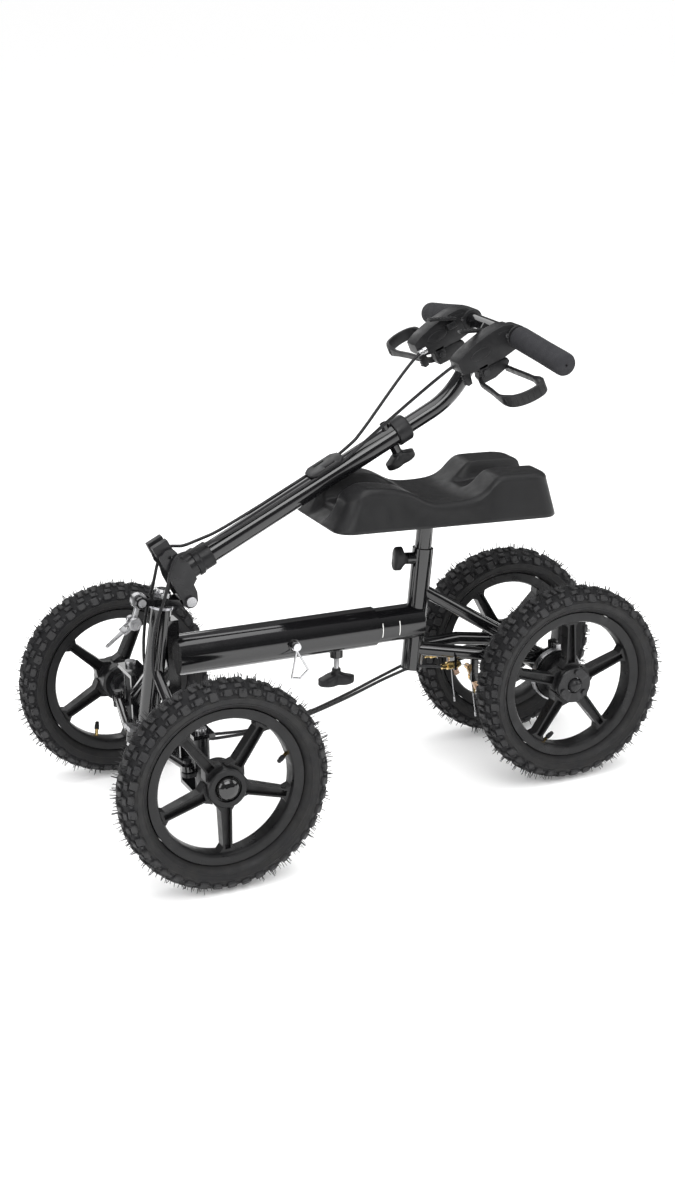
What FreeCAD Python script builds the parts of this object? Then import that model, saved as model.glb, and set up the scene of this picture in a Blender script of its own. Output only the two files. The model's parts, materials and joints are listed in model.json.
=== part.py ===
import FreeCAD, Part
import os
import re

import Sketcher

from FreeCAD import Placement, Rotation, Vector

# A folding, steerable knee scooter on four pneumatic wheels, in millimetres.
# +X is forward, +Y is the rider's left, +Z is up. The origin is on the ground, on the centre plane,
# half way between the axles. The steering is straight ahead and the column is folded back.

os.makedirs("parts", exist_ok=True)
doc = FreeCAD.newDocument("knee_scooter")
sheet = doc.addObject("Spreadsheet::Sheet", "Dimensions")

DRIVING = {
    # wheels
    "tyre_radius": 152.5, "tyre_half_width": 30, "bead_radius": 114, "rim_half_width": 15.5,
    "rim_inside_radius": 98, "spoke_count": 5, "spoke_half_depth": 9, "spoke_web": 3, "spoke_rib": 2.6,
    "spoke_root_half": 8.5, "spoke_tip_half": 6.5, "spoke_flare": 8,
    "hub_radius": 28.5, "hub_face": 20, "hub_back": 31, "drum_radius": 38, "drum_depth": 14,
    "half_wheelbase": 306, "front_half_track": 230, "rear_half_track": 107,
    "bearing_out": 3, "bearing_in": -25, "nut_seat": 14.3, "nut_radius": 11, "hub_bolt_circle": 21,
    "axle_radius": 7.5, "bearing_radius": 17.5, "bearing_width": 11, "running_gap": 0.05,
    # steering head
    "head_x": 304, "head_z": 336, "rake": 9.36, "head_tube_radius": 15, "head_tube_bore": 12,
    "head_tube_length": 172, "shaft_radius": 8, "bearing_flange": 4, "plate_bottom": 6,
    "plate_top": 16, "plate_half_width": 14, "bolt_radius": 5, "pivot_behind": 35.3,
    "pivot_height": 16.5, "latch_ahead": 35.2, "latch_height": 10.4, "steer_arm": 22,
    # front axle
    "kingpin_side": 150, "kingpin_radius": 5, "yoke_side": 104, "yoke_top": 200, "yoke_bottom": 108,
    "yoke_plate": 6, "yoke_width": 32, "yoke_reach": 60, "cross_beam_z": 122, "cross_beam_radius": 12,
    "strut_x": 283, "strut_width": 18, "strut_half_depth": 12, "strut_bottom": 112, "strut_top": 318,
    "brace_radius": 8, "rod_radius": 6, "rod_neck_radius": 3.8, "eye_radius": 9, "eye_height": 8,
    "stud_radius": 4, "pitman_level": 178, "knuckle_arm_z": 140,
    # beam
    "beam_front_x": 283, "beam_front_z": 260.6, "beam_slope": 1.3, "beam_radius": 30, "beam_bore": 28,
    "beam_length": 311, "slider_radius": 27, "slider_bore": 24.5, "slider_front": 120,
    "pin_station": 171, "pin_radius": 4, "slot_front": 34, "slot_rear": 24, "sleeve_length": 36,
    "front_sleeve_station": 200, "pin_boss_side": 32, "bail_wire": 1.7, "slider_length": 268,
    "beam_knob_station": 252, "beam_knob_drop": 66, "beam_knob_reach": 29, "knob_depth": 18,
    "knob_core_radius": 10, "knob_tip_radius": 7, "screw_radius": 4,
    # rear frame and seat
    "post_x": -92, "post_z": 176, "post_lean": 6.64, "post_radius": 16, "post_length": 190,
    "post_bore": 12.77, "seat_post_radius": 12.7, "seat_height": 244.5, "seat_tilt": 3.3,
    "seat_half_width": 88, "seat_front": 183, "seat_rear": 181, "seat_thick": 63, "seat_valley": 36,
    "seat_knob_height": 174, "seat_knob_side": 29, "seat_knob_reach": 18, "seat_bolt_x": 70,
    "seat_bolt_y": 36, "seat_bolt_radius": 3, "pan_half_length": 90, "pan_half_width": 50,
    "pan_thick": 4, "channel_floor": 25, "front_channel_half": 30, "rear_channel_half": 13,
    "stay_side": 48, "upper_stay_radius": 9.5, "lower_stay_radius": 10, "stay_end_z": 172,
    "dropout_side": 53, "axle_tube_radius": 14, "adjuster_x": -150, "adjuster_side": 28,
    "adjuster_z": 180, "arm_pivot_x": -180, "arm_pivot_z": 158, "arm_tab_side": 40,
    "arm_pin_radius": 3, "arm_length": 18,
    # latch
    "cam_x": 347, "cam_z": 321, "lever_slope": 36.2, "lever_length": 46, "swing_eye_half": 5,
    "swing_eye_radius": 11.5, "swing_shank_radius": 4, "cam_pin_radius": 4,
    # column, measured from the fold pivot
    "fold_angle": 55.46, "column_offset": 38, "column_radius": 15.9, "column_bore": 12.77,
    "stem_radius": 12.7, "column_start": 24, "column_end": 392, "collar_radius": 19,
    "cheek_inside": 16.5, "cheek_outside": 21.5, "clamp_start": 388, "clamp_end": 411,
    "column_knob_station": 380, "column_knob_reach": 24, "column_boss_reach": 26,
    "guide_station": 272, "guide_half_length": 30, "guide_half_width": 18, "foot_floor": 16,
    "latch_reach": 74, "cover_half": 16.2, "stem_start": 250, "bend_start": 453.5, "bend_radius": 127,
    "bend_angle": 30.8,
    # handlebar
    "bar_x": -227, "bar_z": 689, "bar_radius": 11.1, "bar_bore": 9.1, "bar_straight": 88,
    "bar_end_length": 122, "bar_droop": 8.85, "grip_radius": 17, "housing_side": 70,
    "housing_half_width": 14, "housing_tilt": 22.33, "lever_pivot_x": 65, "lever_pivot_z": -24,
    "lever_pin_radius": 3, "lever_half": 10, "tab_pivot_x": 89, "tab_pivot_z": -9, "tab_half": 4,
}
for row, (alias, value) in enumerate(DRIVING.items(), start=1):
    sheet.set(f"A{row}", alias)
    sheet.set(f"B{row}", str(value))
    sheet.setAlias(f"B{row}", alias)
doc.recompute()


def size(formula):
    """The number that a formula of sheet names gives."""
    if isinstance(formula, (int, float)):
        return float(formula)
    result = sheet.evalExpression(formula)
    return float(getattr(result, "Value", result))


def bound(formula):
    """The same formula with each sheet name written so that another object can read it."""
    if isinstance(formula, (int, float)):
        return str(formula)

    def with_sheet(match):
        word = match.group(0)
        return "Dimensions." + word if word in DRIVING else word

    return re.sub(r"[a-z][a-z_]*", with_sheet, formula)


def spot(point):
    return Vector(*[size(value) for value in point])


def tilted(point, degrees):
    """A frame at a point, turned about the side-to-side axis."""
    return Placement(spot(point), Rotation(Vector(0, 1, 0), size(degrees)))


AXES = {"X": Vector(1, 0, 0), "Y": Vector(0, 1, 0), "Z": Vector(0, 0, 1)}
GROUND = Placement()
HEAD = tilted(("head_x", 0, "head_z"), -size("rake"))
BEAM = tilted(("beam_front_x", 0, "beam_front_z"), -size("beam_slope"))
POST = tilted(("post_x", 0, "post_z"), -size("post_lean"))
PIVOT = HEAD.multVec(spot(("-pivot_behind", 0, "pivot_height")))
COLUMN = tilted(tuple(PIVOT), -size("rake + fold_angle"))
SEAT = tilted(tuple(POST.multVec(spot((0, 0, "seat_height")))), -size("seat_tilt"))
BAR = tilted(("bar_x", 0, "bar_z"), size("housing_tilt"))
SIDES = {"left": 1, "right": -1}


def make(kind, name, where, **formulas):
    """A primitive whose sizes follow the sheet, placed in a frame."""
    piece = doc.addObject(kind, name)
    for prop, formula in formulas.items():
        setattr(piece, prop, size(formula))
        piece.setExpression(prop, bound(formula))
    piece.Placement = where
    return piece


def cylinder(name, where, radius, length, at=(0, 0, 0), along="Z"):
    """A cylinder that starts at a point of a frame and runs along one of the frame's axes."""
    direction = AXES[along.lstrip("-")] * (-1 if along.startswith("-") else 1)
    local = Placement(spot(at), Rotation(Vector(0, 0, 1), direction))
    return make("Part::Cylinder", name, where * local, Radius=radius, Height=length)


def rod(name, where, radius, start, end):
    """A round rod between two points of a frame."""
    first, last = spot(start), spot(end)
    local = Placement(first, Rotation(Vector(0, 0, 1), last - first))
    return make("Part::Cylinder", name, where * local, Radius=radius, Height=(last - first).Length)


def block(name, where, low, high):
    """A box between its lowest and highest corners in a frame; each size follows the sheet."""
    sizes = [f"({top}) - ({bottom})" for bottom, top in zip(low, high)]
    local = Placement(spot(low), Rotation())
    return make("Part::Box", name, where * local, Length=sizes[0], Width=sizes[1], Height=sizes[2])


def joined(name, pieces):
    fusion = doc.addObject("Part::MultiFuse", name)
    fusion.Shapes = pieces
    return fusion


def grouped(name, pieces):
    """Separate solids of one kind that share a node."""
    group = doc.addObject("Part::Compound", name)
    group.Links = pieces
    return group


def cut(name, base, tools):
    result = doc.addObject("Part::Cut", name)
    result.Base = base
    result.Tool = tools[0] if len(tools) == 1 else joined(name + "_tools", tools)
    return result


def origin_feature(body, role):
    return next(feature for feature in body.Origin.OriginFeatures if feature.Role == role)


def sketch_on(body, role, name):
    sketch = body.newObject("Sketcher::SketchObject", name)
    sketch.AttachmentSupport = [(origin_feature(body, role), "")]
    sketch.MapMode = "FlatFace"
    return sketch


def hold(sketch, kind, geometry, end, formula):
    """Ties one end of a line to the sketch's origin in one direction."""
    value = size(formula)
    if abs(value) < 1e-9:
        axis = -2 if kind == "DistanceX" else -1
        sketch.addConstraint(Sketcher.Constraint("PointOnObject", geometry, end, axis))
        return
    number = sketch.addConstraint(Sketcher.Constraint(kind, -1, 1, geometry, end, value))
    if isinstance(formula, str):
        sketch.setExpression(f"Constraints[{number}]", bound(formula))


def outline(body, role, name, corners):
    """A closed outline of straight lines whose corners follow the sheet."""
    sketch = sketch_on(body, role, name)
    points = [Vector(size(x), size(y), 0) for x, y in corners]
    for number, point in enumerate(points):
        following = points[(number + 1) % len(points)]
        sketch.addGeometry(Part.LineSegment(point, following), False)
    for number in range(len(points)):
        following = (number + 1) % len(points)
        sketch.addConstraint(Sketcher.Constraint("Coincident", number, 2, following, 1))
    for number, (x, y) in enumerate(corners):
        hold(sketch, "DistanceX", number, 1, x)
        hold(sketch, "DistanceY", number, 1, y)
    return sketch


def turned(name, where, corners):
    """A body turned about its frame's Z axis from an outline of (radius, height) corners."""
    body = doc.addObject("PartDesign::Body", name)
    sketch = outline(body, "XZ_Plane", name + "_section", corners)
    turn = body.newObject("PartDesign::Revolution", name + "_turn")
    turn.Profile = sketch
    turn.ReferenceAxis = (sketch, ["V_Axis"])
    turn.Angle = 360
    body.Placement = where
    return body


def profiled(name, where, corners, width):
    """A body of one width, centred on the XZ plane of its frame, from its side outline."""
    body = doc.addObject("PartDesign::Body", name)
    sketch = outline(body, "XZ_Plane", name + "_side", corners)
    pad = body.newObject("PartDesign::Pad", name + "_pad")
    pad.Profile = sketch
    pad.SideType = "Symmetric"
    pad.Length = size(width)
    pad.setExpression("Length", bound(width))
    body.Placement = where
    return body


def side_frame(where, side):
    """The frame moved sideways by a signed distance."""
    return where * Placement(Vector(0, side, 0), Rotation())


def wing_knob(name, where, at, along, reach, screw_length):
    """A two-winged clamp knob; at is its inner face, and the moulded-in screw points back from it."""
    direction = AXES[along.lstrip("-")] * (-1 if along.startswith("-") else 1)
    seat = where * Placement(spot(at), Rotation(Vector(0, 0, 1), direction))
    solids = [
        cylinder(name + "_core", seat, "knob_core_radius", "knob_depth"),
        block(name + "_wings", seat, (f"-({reach})", -5, 4), (f"{reach}", 5, "knob_depth")),
        cylinder(name + "_screw", seat, "screw_radius", f"{screw_length} + 3", at=(0, 0, 3), along="-Z"),
    ]
    for end in (-1, 1):
        solids.append(cylinder(name + f"_tip_{end + 1}", seat, "knob_tip_radius", "knob_depth - 4",
                               at=(f"{end} * ({reach} - knob_tip_radius)", 0, 4)))
    return joined(name + "_piece", solids)


def mirrored_range(side, near, far):
    """The low and high Y of a span given by its distances from the centre plane."""
    return (f"{near}", f"{far}") if side > 0 else (f"-({far})", f"-({near})")


def across(name, where, radius, at, width):
    """A cylinder along Y, centred on a point of a frame."""
    return cylinder(name, where, radius, width, at=(at[0], f"({at[1]}) - ({width}) / 2", at[2]), along="Y")


NODES = []


def label(piece, name):
    piece.Label = name
    NODES.append(piece)


# ---- front frame -------------------------------------------------------------------------------

def front_frame():
    """One weldment: head tube, strut, cross beam, yokes, braces and the outer beam tube."""
    solids = [
        cylinder("head_tube", HEAD, "head_tube_radius", "head_tube_length", along="-Z"),
        block("strut", GROUND, ("strut_x", "-strut_half_depth", "strut_bottom"),
              ("strut_x + strut_width", "strut_half_depth", "strut_top")),
        across("cross_beam", GROUND, "cross_beam_radius", ("strut_x + strut_width", 0, "cross_beam_z"),
               "2 * yoke_side"),
        cylinder("beam_tube", BEAM, "beam_radius", "beam_length + 4", at=(4, 0, 0), along="-X"),
        cylinder("beam_knob_boss", BEAM, 10, 12, at=("-beam_knob_station", 0, "2 - beam_radius"),
                 along="-Z"),
        across("pin_boss", BEAM, 9, ("-pin_station", 0, 0), "2 * pin_boss_side"),
    ]
    holes = [
        cylinder("head_bore", HEAD, "head_tube_bore", "head_tube_length + 2", at=(0, 0, 1), along="-Z"),
        cylinder("beam_bore", BEAM, "beam_bore", "beam_length - 4", at=(-6, 0, 0), along="-X"),
        across("pin_hole", BEAM, "pin_radius + running_gap", ("-pin_station", 0, 0), "4 * beam_radius"),
        cylinder("beam_screw_hole", BEAM, "screw_radius + running_gap", 24,
                 at=("-beam_knob_station", 0, "-20"), along="-Z"),
    ]
    back, front = "half_wheelbase - yoke_width / 2", "half_wheelbase + yoke_width / 2"
    for name, side in SIDES.items():
        plate = mirrored_range(side, "yoke_side - yoke_plate / 2", "yoke_side + yoke_plate / 2")
        lug = mirrored_range(side, "yoke_side", "yoke_side + yoke_reach")
        top, bottom = "yoke_top - yoke_plate", "yoke_bottom + yoke_plate"
        solids += [
            block(f"yoke_plate_{name}", GROUND, (back, plate[0], "yoke_bottom"),
                  (front, plate[1], "yoke_top")),
            block(f"yoke_top_{name}", GROUND, (back, lug[0], top), (front, lug[1], "yoke_top")),
            block(f"yoke_bottom_{name}", GROUND, (back, lug[0], "yoke_bottom"), (front, lug[1], bottom)),
            rod(f"brace_{name}", GROUND, "brace_radius", (319, f"{side} * 8", 243),
                ("half_wheelbase + 10", f"{side} * (yoke_side - 1)", 172)),
        ]
        holes.append(cylinder(f"kingpin_hole_{name}", GROUND, "kingpin_radius + 0.02", 120,
                              at=("half_wheelbase", f"{side} * kingpin_side", "yoke_bottom - 10")))
    label(cut("front_frame_piece", joined("front_weldment", solids), holes), "front_frame")


def head_bearings():
    """A flanged bearing cup at each end of the head tube."""
    cups = []
    for name, face, outward, inward in (("top", "0", "Z", "-Z"), ("bottom", "-head_tube_length", "-Z", "Z")):
        solids = [
            cylinder(f"{name}_cup_body", HEAD, "head_tube_bore - 0.02", 14, at=(0, 0, face), along=inward),
            cylinder(f"{name}_cup_flange", HEAD, "head_tube_radius + 2", "bearing_flange", at=(0, 0, face),
                     along=outward),
        ]
        hole = cylinder(f"{name}_cup_hole", HEAD, "shaft_radius + running_gap", "head_tube_length + 20",
                        at=(0, 0, 10), along="-Z")
        cups.append(cut(f"{name}_cup", joined(f"{name}_cup_solids", solids), [hole]))
    label(grouped("cups", cups), "head_bearings")


def kingpins():
    bolts = []
    for name, side in SIDES.items():
        place = f"{side} * kingpin_side"
        bolts.append(joined(f"kingpin_{name}", [
            cylinder(f"kingpin_shank_{name}", GROUND, "kingpin_radius", "yoke_top - yoke_bottom + 8",
                     at=("half_wheelbase", place, "yoke_bottom - 4")),
            cylinder(f"kingpin_head_{name}", GROUND, 8, 6, at=("half_wheelbase", place, "yoke_top")),
            cylinder(f"kingpin_nut_{name}", GROUND, 8, 6, at=("half_wheelbase", place, "yoke_bottom"),
                     along="-Z"),
        ]))
    label(grouped("kingpin_pair", bolts), "kingpins")


def beam_sleeves():
    """Two plastic bushes that guide the sliding tube inside the beam."""
    rings = []
    for name, station in (("front", "front_sleeve_station"), ("rear", "beam_length - 1 - sleeve_length")):
        outer = cylinder(f"sleeve_{name}_outer", BEAM, "beam_bore - 0.02", "sleeve_length",
                         at=(f"-({station})", 0, 0), along="-X")
        inner = cylinder(f"sleeve_{name}_inner", BEAM, "slider_radius + running_gap", "sleeve_length + 2",
                         at=(f"1 - ({station})", 0, 0), along="-X")
        rings.append(cut(f"sleeve_{name}", outer, [inner]))
    label(grouped("sleeves", rings), "beam_sleeves")


def beam_knob():
    knob = wing_knob("beam_knob", BEAM, ("-beam_knob_station", 0, "-beam_knob_drop"), "-Z",
                     "beam_knob_reach",
                     "beam_knob_drop - slider_radius - 0.3")
    label(knob, "beam_clamp_knob")


def hitch_pin():
    """The quick-release pin through the beam and the slot of the sliding tube."""
    label(joined("hitch_pin_piece", [
        cylinder("hitch_shank", BEAM, "pin_radius", "2 * pin_boss_side + 14",
                 at=("-pin_station", "pin_boss_side + 10", 0), along="-Y"),
        cylinder("hitch_head", BEAM, 7, 5, at=("-pin_station", "pin_boss_side + 0.2", 0), along="Y"),
        cylinder("hitch_keeper", BEAM, 6, 1.5, at=("-pin_station", "pin_boss_side + 9.2", 0), along="Y"),
    ]), "hitch_pin")


def pin_bail():
    """A wire loop that hangs from the outer end of the hitch pin."""
    level = "pin_boss_side + 7.2"
    hole = across("bail_eye_hole", BEAM, "pin_radius + 0.1", ("-pin_station", level, 0), 6)
    eye = cut("bail_eye", across("bail_eye_outer", BEAM, 6.4, ("-pin_station", level, 0), 2.8), [hole])
    corners = [
        ("-pin_station", level, -5.6),
        ("-pin_station - 18", level, -38),
        ("-pin_station - 5", level, -50),
        ("-pin_station + 8", level, -47),
    ]
    wires = []
    for number, corner in enumerate(corners):
        following = corners[(number + 1) % len(corners)]
        wires.append(rod(f"bail_wire_{number}", BEAM, "bail_wire", corner, following))
        if number:
            joint = BEAM * Placement(spot(corner), Rotation())
            wires.append(make("Part::Sphere", f"bail_corner_{number}", joint, Radius="bail_wire"))
    label(joined("pin_bail_piece", [eye] + wires), "pin_bail")


# ---- rear frame --------------------------------------------------------------------------------

def rear_frame():
    """One weldment: sliding tube, seat post tube, stays, dropouts, axle tube and brake tabs."""
    solids = [
        cylinder("slider", BEAM, "slider_radius", "slider_length", at=("-slider_front", 0, 0), along="-X"),
        cylinder("post", POST, "post_radius", "post_length"),
        across("axle_tube", GROUND, "axle_tube_radius", ("-half_wheelbase", 0, "tyre_radius"),
               "2 * dropout_side"),
        cylinder("seat_knob_boss", POST, 9, 14, at=("post_radius - 3", 0, "seat_knob_height"), along="X"),
    ]
    slot = ("-pin_station - slot_rear", "-2 * beam_radius", "-pin_radius - 0.4")
    holes = [
        cylinder("slider_bore", BEAM, "slider_bore", "slider_length - 18", at=("2 - slider_front", 0, 0),
                 along="-X"),
        cylinder("post_bore", POST, "post_bore", "post_length", at=(0, 0, 8)),
        cylinder("seat_screw_hole", POST, "screw_radius + running_gap", 30, at=(5, 0, "seat_knob_height"),
                 along="X"),
        across("rear_axle_hole", GROUND, "axle_radius", ("-half_wheelbase", 0, "tyre_radius"), 160),
        block("pin_slot", BEAM, slot, ("-pin_station + slot_front", "2 * beam_radius", "pin_radius + 0.4")),
    ]
    for name, side in SIDES.items():
        upper_start = (-112, f"{side} * 5", 299)
        lower_start = (-100, f"{side} * 6", 208)
        elbow = ("arm_pivot_x - 10", f"{side} * arm_tab_side", 195)
        end = ("6 - half_wheelbase", f"{side} * stay_side", "stay_end_z")
        dropout = mirrored_range(side, "dropout_side - 3", "dropout_side + 3")
        anchor = mirrored_range(side, "dropout_side", "dropout_side + 8")
        anchor_tip = mirrored_range(side, "dropout_side + 7", "dropout_side + 11.2")
        adjuster_tab = mirrored_range(side, "adjuster_side - 8", "adjuster_side + 8")
        arm_tab = mirrored_range(side, "arm_tab_side - 2", "arm_tab_side + 2")
        solids += [
            rod(f"upper_stay_{name}", GROUND, "upper_stay_radius", upper_start, end),
            rod(f"lower_stay_{name}", GROUND, "lower_stay_radius", lower_start, elbow),
            rod(f"lower_stay_end_{name}", GROUND, "lower_stay_radius", elbow, end),
            make("Part::Sphere", f"stay_elbow_{name}", Placement(spot(elbow), Rotation()),
                 Radius="lower_stay_radius"),
            block(f"dropout_{name}", GROUND, ("-half_wheelbase - 24", dropout[0], 134),
                  ("26 - half_wheelbase", dropout[1], 188)),
            block(f"band_anchor_{name}", GROUND, ("-half_wheelbase - 6", anchor[0], 185),
                  ("6 - half_wheelbase", anchor[1], 204)),
            block(f"anchor_tip_{name}", GROUND, ("-half_wheelbase - 6", anchor_tip[0], 193),
                  ("6 - half_wheelbase", anchor_tip[1], 204)),
            block(f"adjuster_tab_{name}", GROUND, ("adjuster_x - 2", adjuster_tab[0], 174),
                  ("adjuster_x + 2", adjuster_tab[1], 202)),
            block(f"arm_tab_{name}", GROUND, ("arm_pivot_x - 6", arm_tab[0], "arm_pivot_z - 6"),
                  ("arm_pivot_x + 6", arm_tab[1], 194)),
            cylinder(f"arm_pin_{name}", GROUND, "arm_pin_radius", 13,
                     at=("arm_pivot_x", f"{side} * arm_tab_side", "arm_pivot_z"),
                     along="-Y" if side > 0 else "Y"),
        ]
        holes.append(cylinder(f"adjuster_hole_{name}", GROUND, 4.02, 20,
                              at=("adjuster_x + 10", f"{side} * adjuster_side", "adjuster_z"), along="-X"))
    label(cut("rear_frame_piece", joined("rear_weldment", solids), holes), "rear_frame")


def rear_axle():
    label(across("rear_axle_rod", GROUND, "axle_radius - 0.02", ("-half_wheelbase", 0, "tyre_radius"),
                 "2 * (rear_half_track + nut_seat + 5)"), "rear_axle")


def axle_nuts():
    """A domed nut on each end of the rear axle."""
    section = [
        ("axle_radius", "nut_seat"), ("nut_radius", "nut_seat"), ("nut_radius", "nut_seat + 7"),
        (9, "nut_seat + 11"), (5, "nut_seat + 13.5"), (0, "nut_seat + 14"), (0, "nut_seat + 5.6"),
        ("axle_radius", "nut_seat + 5.6"),
    ]
    nuts = [turned(f"axle_nut_{name}", wheel_frame("rear", name), section) for name in SIDES]
    label(grouped("axle_nut_pair", nuts), "axle_nuts")


def brake_bands():
    """A band with a bonded lining around each rear drum, held by an ear at the top."""
    bands = []
    for name, side in SIDES.items():
        middle = ("-half_wheelbase", f"{side} * (rear_half_track - hub_back - drum_depth / 2 + 1)",
                  "tyre_radius")
        ear = mirrored_range(side, "dropout_side + 12", "dropout_side + 23")
        hoop = across(f"band_outer_{name}", GROUND, "drum_radius + 3.5", middle, "drum_depth - 3")
        ear_block = block(f"band_ear_{name}", GROUND, ("-half_wheelbase - 4", ear[0],
                                                       "tyre_radius + drum_radius + 2"),
                          ("4 - half_wheelbase", ear[1], 202))
        inside = across(f"band_inner_{name}", GROUND, "drum_radius + 0.8", middle, "2 * drum_depth")
        bands.append(cut(f"band_{name}", joined(f"band_solids_{name}", [hoop, ear_block]), [inside]))
    label(grouped("bands", bands), "brake_bands")


def cable_adjusters():
    adjusters = []
    for name, side in SIDES.items():
        place = f"{side} * adjuster_side"
        adjusters.append(joined(f"adjuster_{name}", [
            cylinder(f"adjuster_barrel_{name}", GROUND, 4, 32, at=("adjuster_x + 20", place, "adjuster_z"),
                     along="-X"),
            cylinder(f"adjuster_collar_{name}", GROUND, 6, 9, at=("adjuster_x + 11.2", place, "adjuster_z"),
                     along="-X"),
            cylinder(f"adjuster_nut_{name}", GROUND, 6, 6, at=("adjuster_x - 2.2", place, "adjuster_z"),
                     along="-X"),
        ]))
    label(grouped("adjusters", adjusters), "cable_adjusters")


def brake_arms():
    """The plated arms that the cables pull."""
    arm_frame = tilted(("arm_pivot_x", 0, "arm_pivot_z"), 22)
    for name, side in SIDES.items():
        low, high = mirrored_range(side, "arm_tab_side - 9", "arm_tab_side - 3")
        clamp_low, clamp_high = mirrored_range(side, "arm_tab_side - 13", "arm_tab_side - 2.6")
        solids = [
            block(f"arm_bar_{name}", arm_frame, (-4, low, -22), (4, high, "arm_length")),
            cylinder(f"arm_hub_{name}", arm_frame, 7, f"({high}) - ({low})", at=(0, low, 0), along="Y"),
            cylinder(f"arm_clamp_{name}", arm_frame, 4.5, f"({clamp_high}) - ({clamp_low})",
                     at=(0, clamp_low, "arm_length"), along="Y"),
        ]
        hole = cylinder(f"arm_hole_{name}", arm_frame, "arm_pin_radius + running_gap", 30,
                        at=(0, f"{low} - 10", 0),
                        along="Y")
        label(cut(f"arm_piece_{name}", joined(f"arm_solids_{name}", solids), [hole]), f"brake_arm_{name}")


# ---- seat --------------------------------------------------------------------------------------

def seat_bolt_places():
    return [(x, y) for x in (-1, 1) for y in (-1, 1)]


def seat_bolt_cylinders(name, radius, bottom, length):
    """One cylinder at each of the four seat bolts."""
    return [
        cylinder(f"{name}_{number}", SEAT, radius, length,
                 at=(f"{x} * seat_bolt_x", f"{y} * seat_bolt_y", bottom))
        for number, (x, y) in enumerate(seat_bolt_places())
    ]


def seat_post():
    label(cylinder("seat_post_tube", POST, "seat_post_radius", "seat_height - 66", at=(0, 0, 60)),
          "seat_post")


def seat_plate():
    """The pan under the cushion, with the socket that takes the seat post."""
    solids = [
        block("seat_pan", SEAT, ("-pan_half_length", "-pan_half_width", "-pan_thick"),
              ("pan_half_length", "pan_half_width", 0)),
        cylinder("seat_socket", POST, 15.5, 18, at=(0, 0, "seat_height - 18")),
    ]
    holes = [
        cylinder("seat_socket_hole", POST, "seat_post_radius + 0.02", 13, at=(0, 0, "seat_height - 18.8")),
        block("seat_socket_trim", SEAT, (-40, -40, 0), (40, 40, 30)),
    ]
    holes += seat_bolt_cylinders("pan_hole", "seat_bolt_radius + running_gap", -12, 20)
    label(cut("seat_plate_piece", joined("seat_plate_solids", solids), holes), "seat_plate")


def seat_cushion():
    """A moulded cushion: a knee valley across it, two pairs of bolsters, and a channel between each pair."""
    side_outline = [
        ("-seat_rear", 0.5), ("seat_front", 0.5), ("seat_front", 4), ("seat_front - 23", "seat_thick - 18"),
        ("seat_front - 53", "seat_thick"), (78, "seat_thick"),
        (50, "seat_thick - 10"), (28, "seat_valley + 6"), (5, "seat_valley"), (-18, "seat_valley + 5"),
        (-45, "seat_thick - 4"), (-62, "seat_thick + 4"), ("12 - seat_rear", "seat_thick + 3"),
        ("-seat_rear", "seat_thick - 8"),
    ]
    front_channel = [
        (14, "seat_valley - 1"), (110, "seat_valley - 4"), ("seat_front + 2", "channel_floor"),
        ("seat_front + 2", "2 * seat_thick"), (14, "2 * seat_thick"),
    ]
    rear_channel = [
        ("-seat_rear - 2", "seat_thick - 12"), (-30, "seat_thick - 14"), (-30, "2 * seat_thick"),
        ("-seat_rear - 2", "2 * seat_thick"),
    ]
    cuts = [
        profiled("front_channel", SEAT, front_channel, "2 * front_channel_half"),
        profiled("rear_channel", SEAT, rear_channel, "2 * rear_channel_half"),
    ]
    cuts += seat_bolt_cylinders("cushion_hole", "seat_bolt_radius + running_gap", -2, 18)
    pad = profiled("seat_pad", SEAT, side_outline, "2 * seat_half_width")
    label(cut("seat_cushion_piece", pad, cuts), "seat_cushion")


def seat_bolts():
    shanks = seat_bolt_cylinders("seat_bolt_shank", "seat_bolt_radius", "-pan_thick - 2", 17)
    heads = seat_bolt_cylinders("seat_bolt_head", 6, "-pan_thick - 4.1", 4)
    pairs = [joined(f"seat_bolt_{number}", list(pair)) for number, pair in enumerate(zip(shanks, heads))]
    label(grouped("seat_bolt_set", pairs), "seat_bolts")


def seat_knob():
    label(wing_knob("seat_knob", POST, ("seat_knob_side", 0, "seat_knob_height"), "X", "seat_knob_reach",
                    "seat_knob_side - seat_post_radius - 0.3"), "seat_clamp_knob")


# ---- steering head -----------------------------------------------------------------------------

def steering_shaft():
    """The shaft with its pitman plate and the stud that carries both tie rods."""
    stud = ("steer_arm", 0, "-pitman_level")
    label(joined("steering_shaft_piece", [
        cylinder("shaft", HEAD, "shaft_radius", "pitman_level + 28", at=(0, 0, 20), along="-Z"),
        block("pitman_plate", HEAD, (-10, -12, "-pitman_level - 6"),
              ("steer_arm + 10", 12, "-pitman_level")),
        cylinder("pitman_stud", HEAD, "stud_radius", 28, at=stud, along="-Z"),
        cylinder("pitman_nut", HEAD, 7, 5, at=("steer_arm", 0, "-pitman_level - 25.2"), along="-Z"),
    ]), "steering_shaft")


def base_plate():
    """The plate on top of the shaft: the fold hinge at its rear, the latch fork at its front."""
    rear, front = "-pivot_behind", "latch_ahead"
    width = "2 * plate_half_width"
    solids = [
        block("plate", HEAD, (rear, "-plate_half_width", "plate_bottom"),
              (front, "plate_half_width", "plate_top")),
        across("plate_ear", HEAD, 11, (rear, 0, "pivot_height"), width),
        across("plate_prongs", HEAD, 8.5, (front, 0, "latch_height"), width),
    ]
    holes = [
        across("hinge_hole", HEAD, "bolt_radius + 0.02", (rear, 0, "pivot_height"), 60),
        across("latch_hole", HEAD, "bolt_radius + 0.02", (front, 0, "latch_height"), 60),
        cylinder("plate_shaft_hole", HEAD, "shaft_radius + 0.02", 60, at=(0, 0, -20)),
        block("fork_gap", HEAD, (20, "-swing_eye_half - 0.6", -10), (60, "swing_eye_half + 0.6", 40)),
    ]
    label(cut("base_plate_piece", joined("base_plate_solids", solids), holes), "base_plate")


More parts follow.
